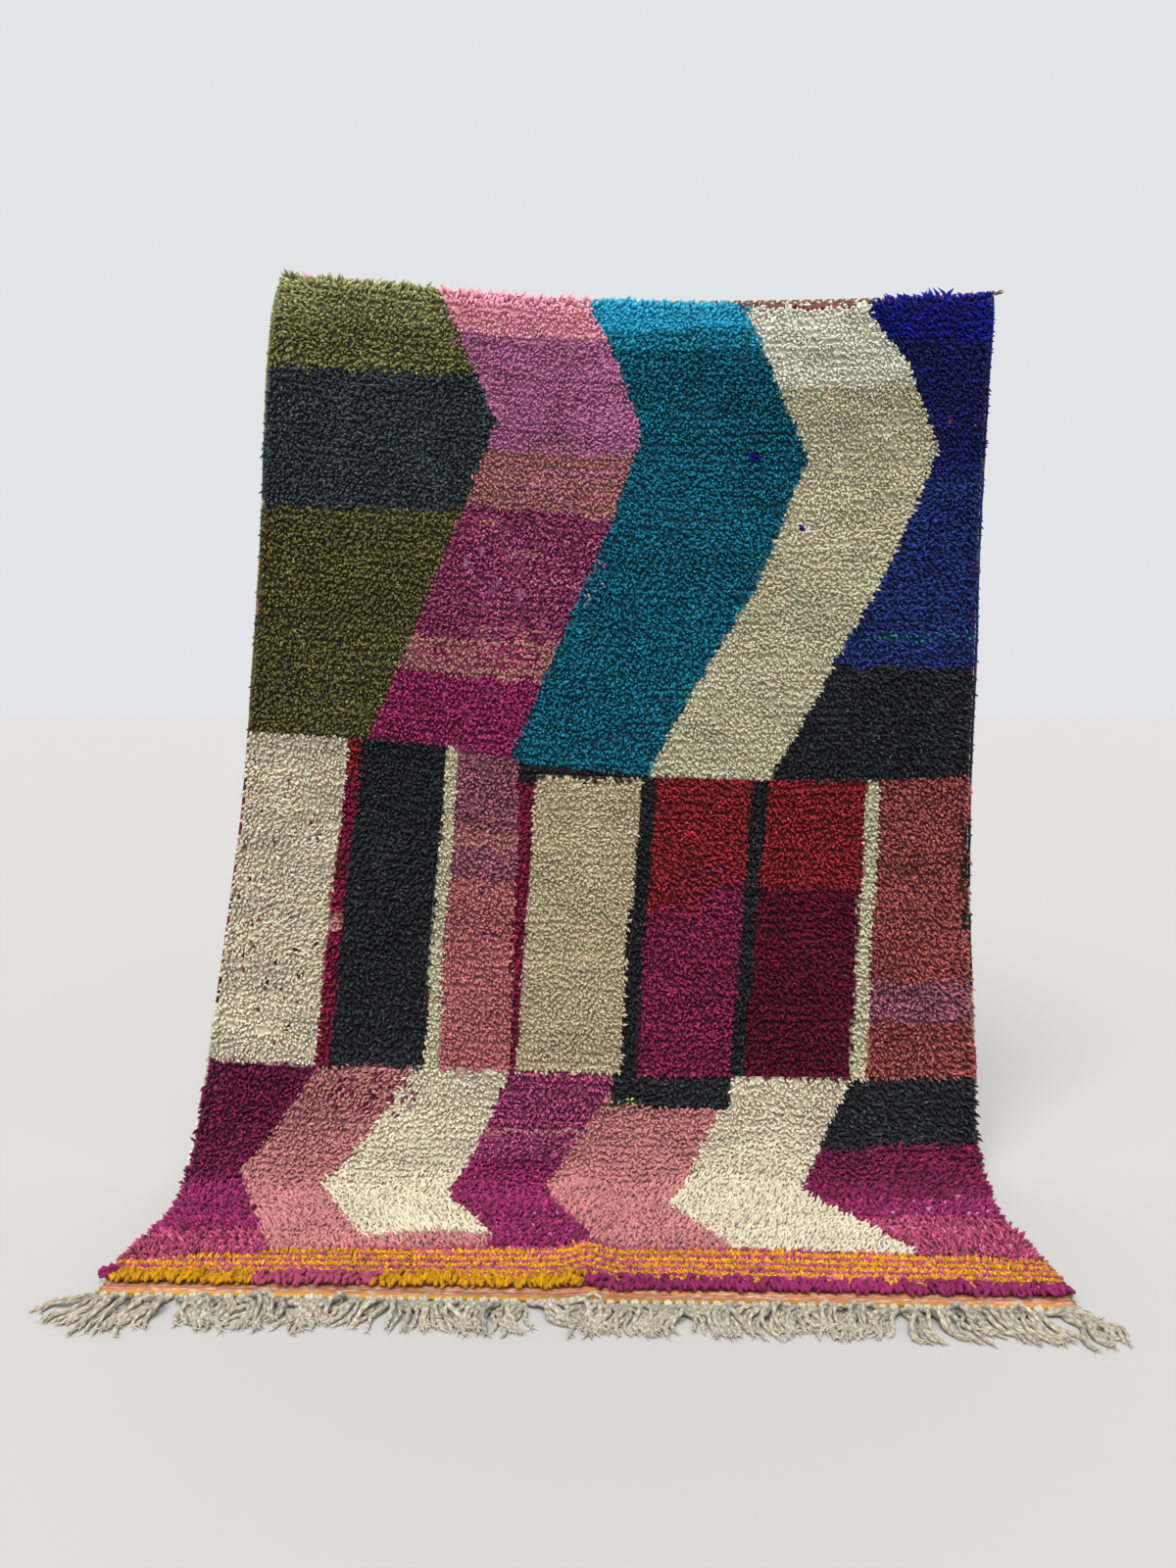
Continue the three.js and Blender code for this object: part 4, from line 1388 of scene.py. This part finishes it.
# Loose fibres where the strands are cut
def makeFray(centres, tone):
    rings = sides = len(fringe["frayRadii"])
    strand = np.repeat(np.arange(len(centres)), fringe["frayFibres"])
    count = len(strand)
    tip = centres[strand, -1]
    heading = unit(tip - centres[strand, -3])
    turn = random.normal(0, fringe["fraySplay"], count)
    direction = heading.copy()
    direction[:, 0] = heading[:, 0] * np.cos(turn) - heading[:, 1] * np.sin(turn)
    direction[:, 1] = heading[:, 0] * np.sin(turn) + heading[:, 1] * np.cos(turn)
    length = fringe["frayLength"] * random.uniform(0.5, 1.2, count)
    s = np.linspace(-0.25, 1, rings)
    path = tip[:, None, :] + direction[:, None, :] * (length[:, None] * s)[..., None]
    shift = random.normal(0, 0.0012, count)[:, None]
    path[..., 2] = tip[:, None, 2] + shift + random.normal(0, 0.0018, count)[:, None] * np.clip(s, 0, 1)
    radii = np.array(fringe["frayRadii"])[None, :, None] * np.ones((count, 1, sides))
    points, index = tubes(aboveFloor(path, 0.0010), radii, upwards)
    piece = meshPiece("fringe_ends", aboveFloor(points, 0.0003), capped(index), warpWool)
    paint(piece.data, np.repeat(tone[strand] * 1.08, rings * sides, 0))
    setYarnUv(piece.data, index, 0.02, 0.014)
    return piece


knotShare, knotPlaces = knotSpots()
knotPoints = makeKnots(knotPlaces)
strandCentres, strandThick, strandLength = strandPaths(knotShare, knotPlaces)
strandPiece, strandTone = makeStrands(strandCentres, strandThick, strandLength)
knotPiece = makeKnotPiece(knotPoints)
frayPiece = makeFray(strandCentres, strandTone)
print("fringe made")

# Floor, light and camera

studio = {
    "floorSize": 60,
    "floorColour": (0.45, 0.44, 0.42),
    "worldColour": (0.765, 0.78, 0.80),
    "worldStrength": 1.0,
    "sunStrength": 3.5,
    "sunAngle": 45,
    "sunTilt": (34, -8),
    "cameraHeight": 0.81,
    "cameraDistance": 1.543,
    "lens": 27,
    "shift": -0.0625,
}


def makeFloor():
    bpy.ops.object.select_all(action="DESELECT")
    bpy.ops.mesh.primitive_plane_add(size=studio["floorSize"], location=(0, 0, 0))
    floor = bpy.context.object
    floor.name = "floor"
    material, tree, shader = newMaterial("paleFloor")
    fill(tree, shader, {"Base Color": (*studio["floorColour"], 1), "Roughness": 0.7})
    floor.data.materials.append(material)


def addSun():
    data = bpy.data.lights.new("ceilingLight", "SUN")
    data.energy = studio["sunStrength"]
    data.angle = math.radians(studio["sunAngle"])
    light = bpy.data.objects.new("ceilingLight", data)
    forward, sideways = studio["sunTilt"]
    light.rotation_euler = (math.radians(forward), math.radians(sideways), 0)
    bpy.context.scene.collection.objects.link(light)


def makeStudio():
    makeFloor()
    world = bpy.data.worlds.new("paleRoom")
    world.use_nodes = True
    background = world.node_tree.nodes["Background"]
    background.inputs["Color"].default_value = (*studio["worldColour"], 1)
    background.inputs["Strength"].default_value = studio["worldStrength"]
    bpy.context.scene.world = world
    addSun()
    data = bpy.data.cameras.new("camera")
    data.lens = studio["lens"]
    data.shift_y = studio["shift"]
    camera = bpy.data.objects.new("camera", data)
    placeX, placeY = cloth["place"]
    camera.location = (placeX, placeY - studio["cameraDistance"], studio["cameraHeight"])
    camera.rotation_euler = (math.pi / 2, 0, 0)
    bpy.context.scene.collection.objects.link(camera)
    bpy.context.scene.camera = camera
    bpy.context.scene.view_settings.view_transform = "Standard"


makeStudio()
print("studio made")
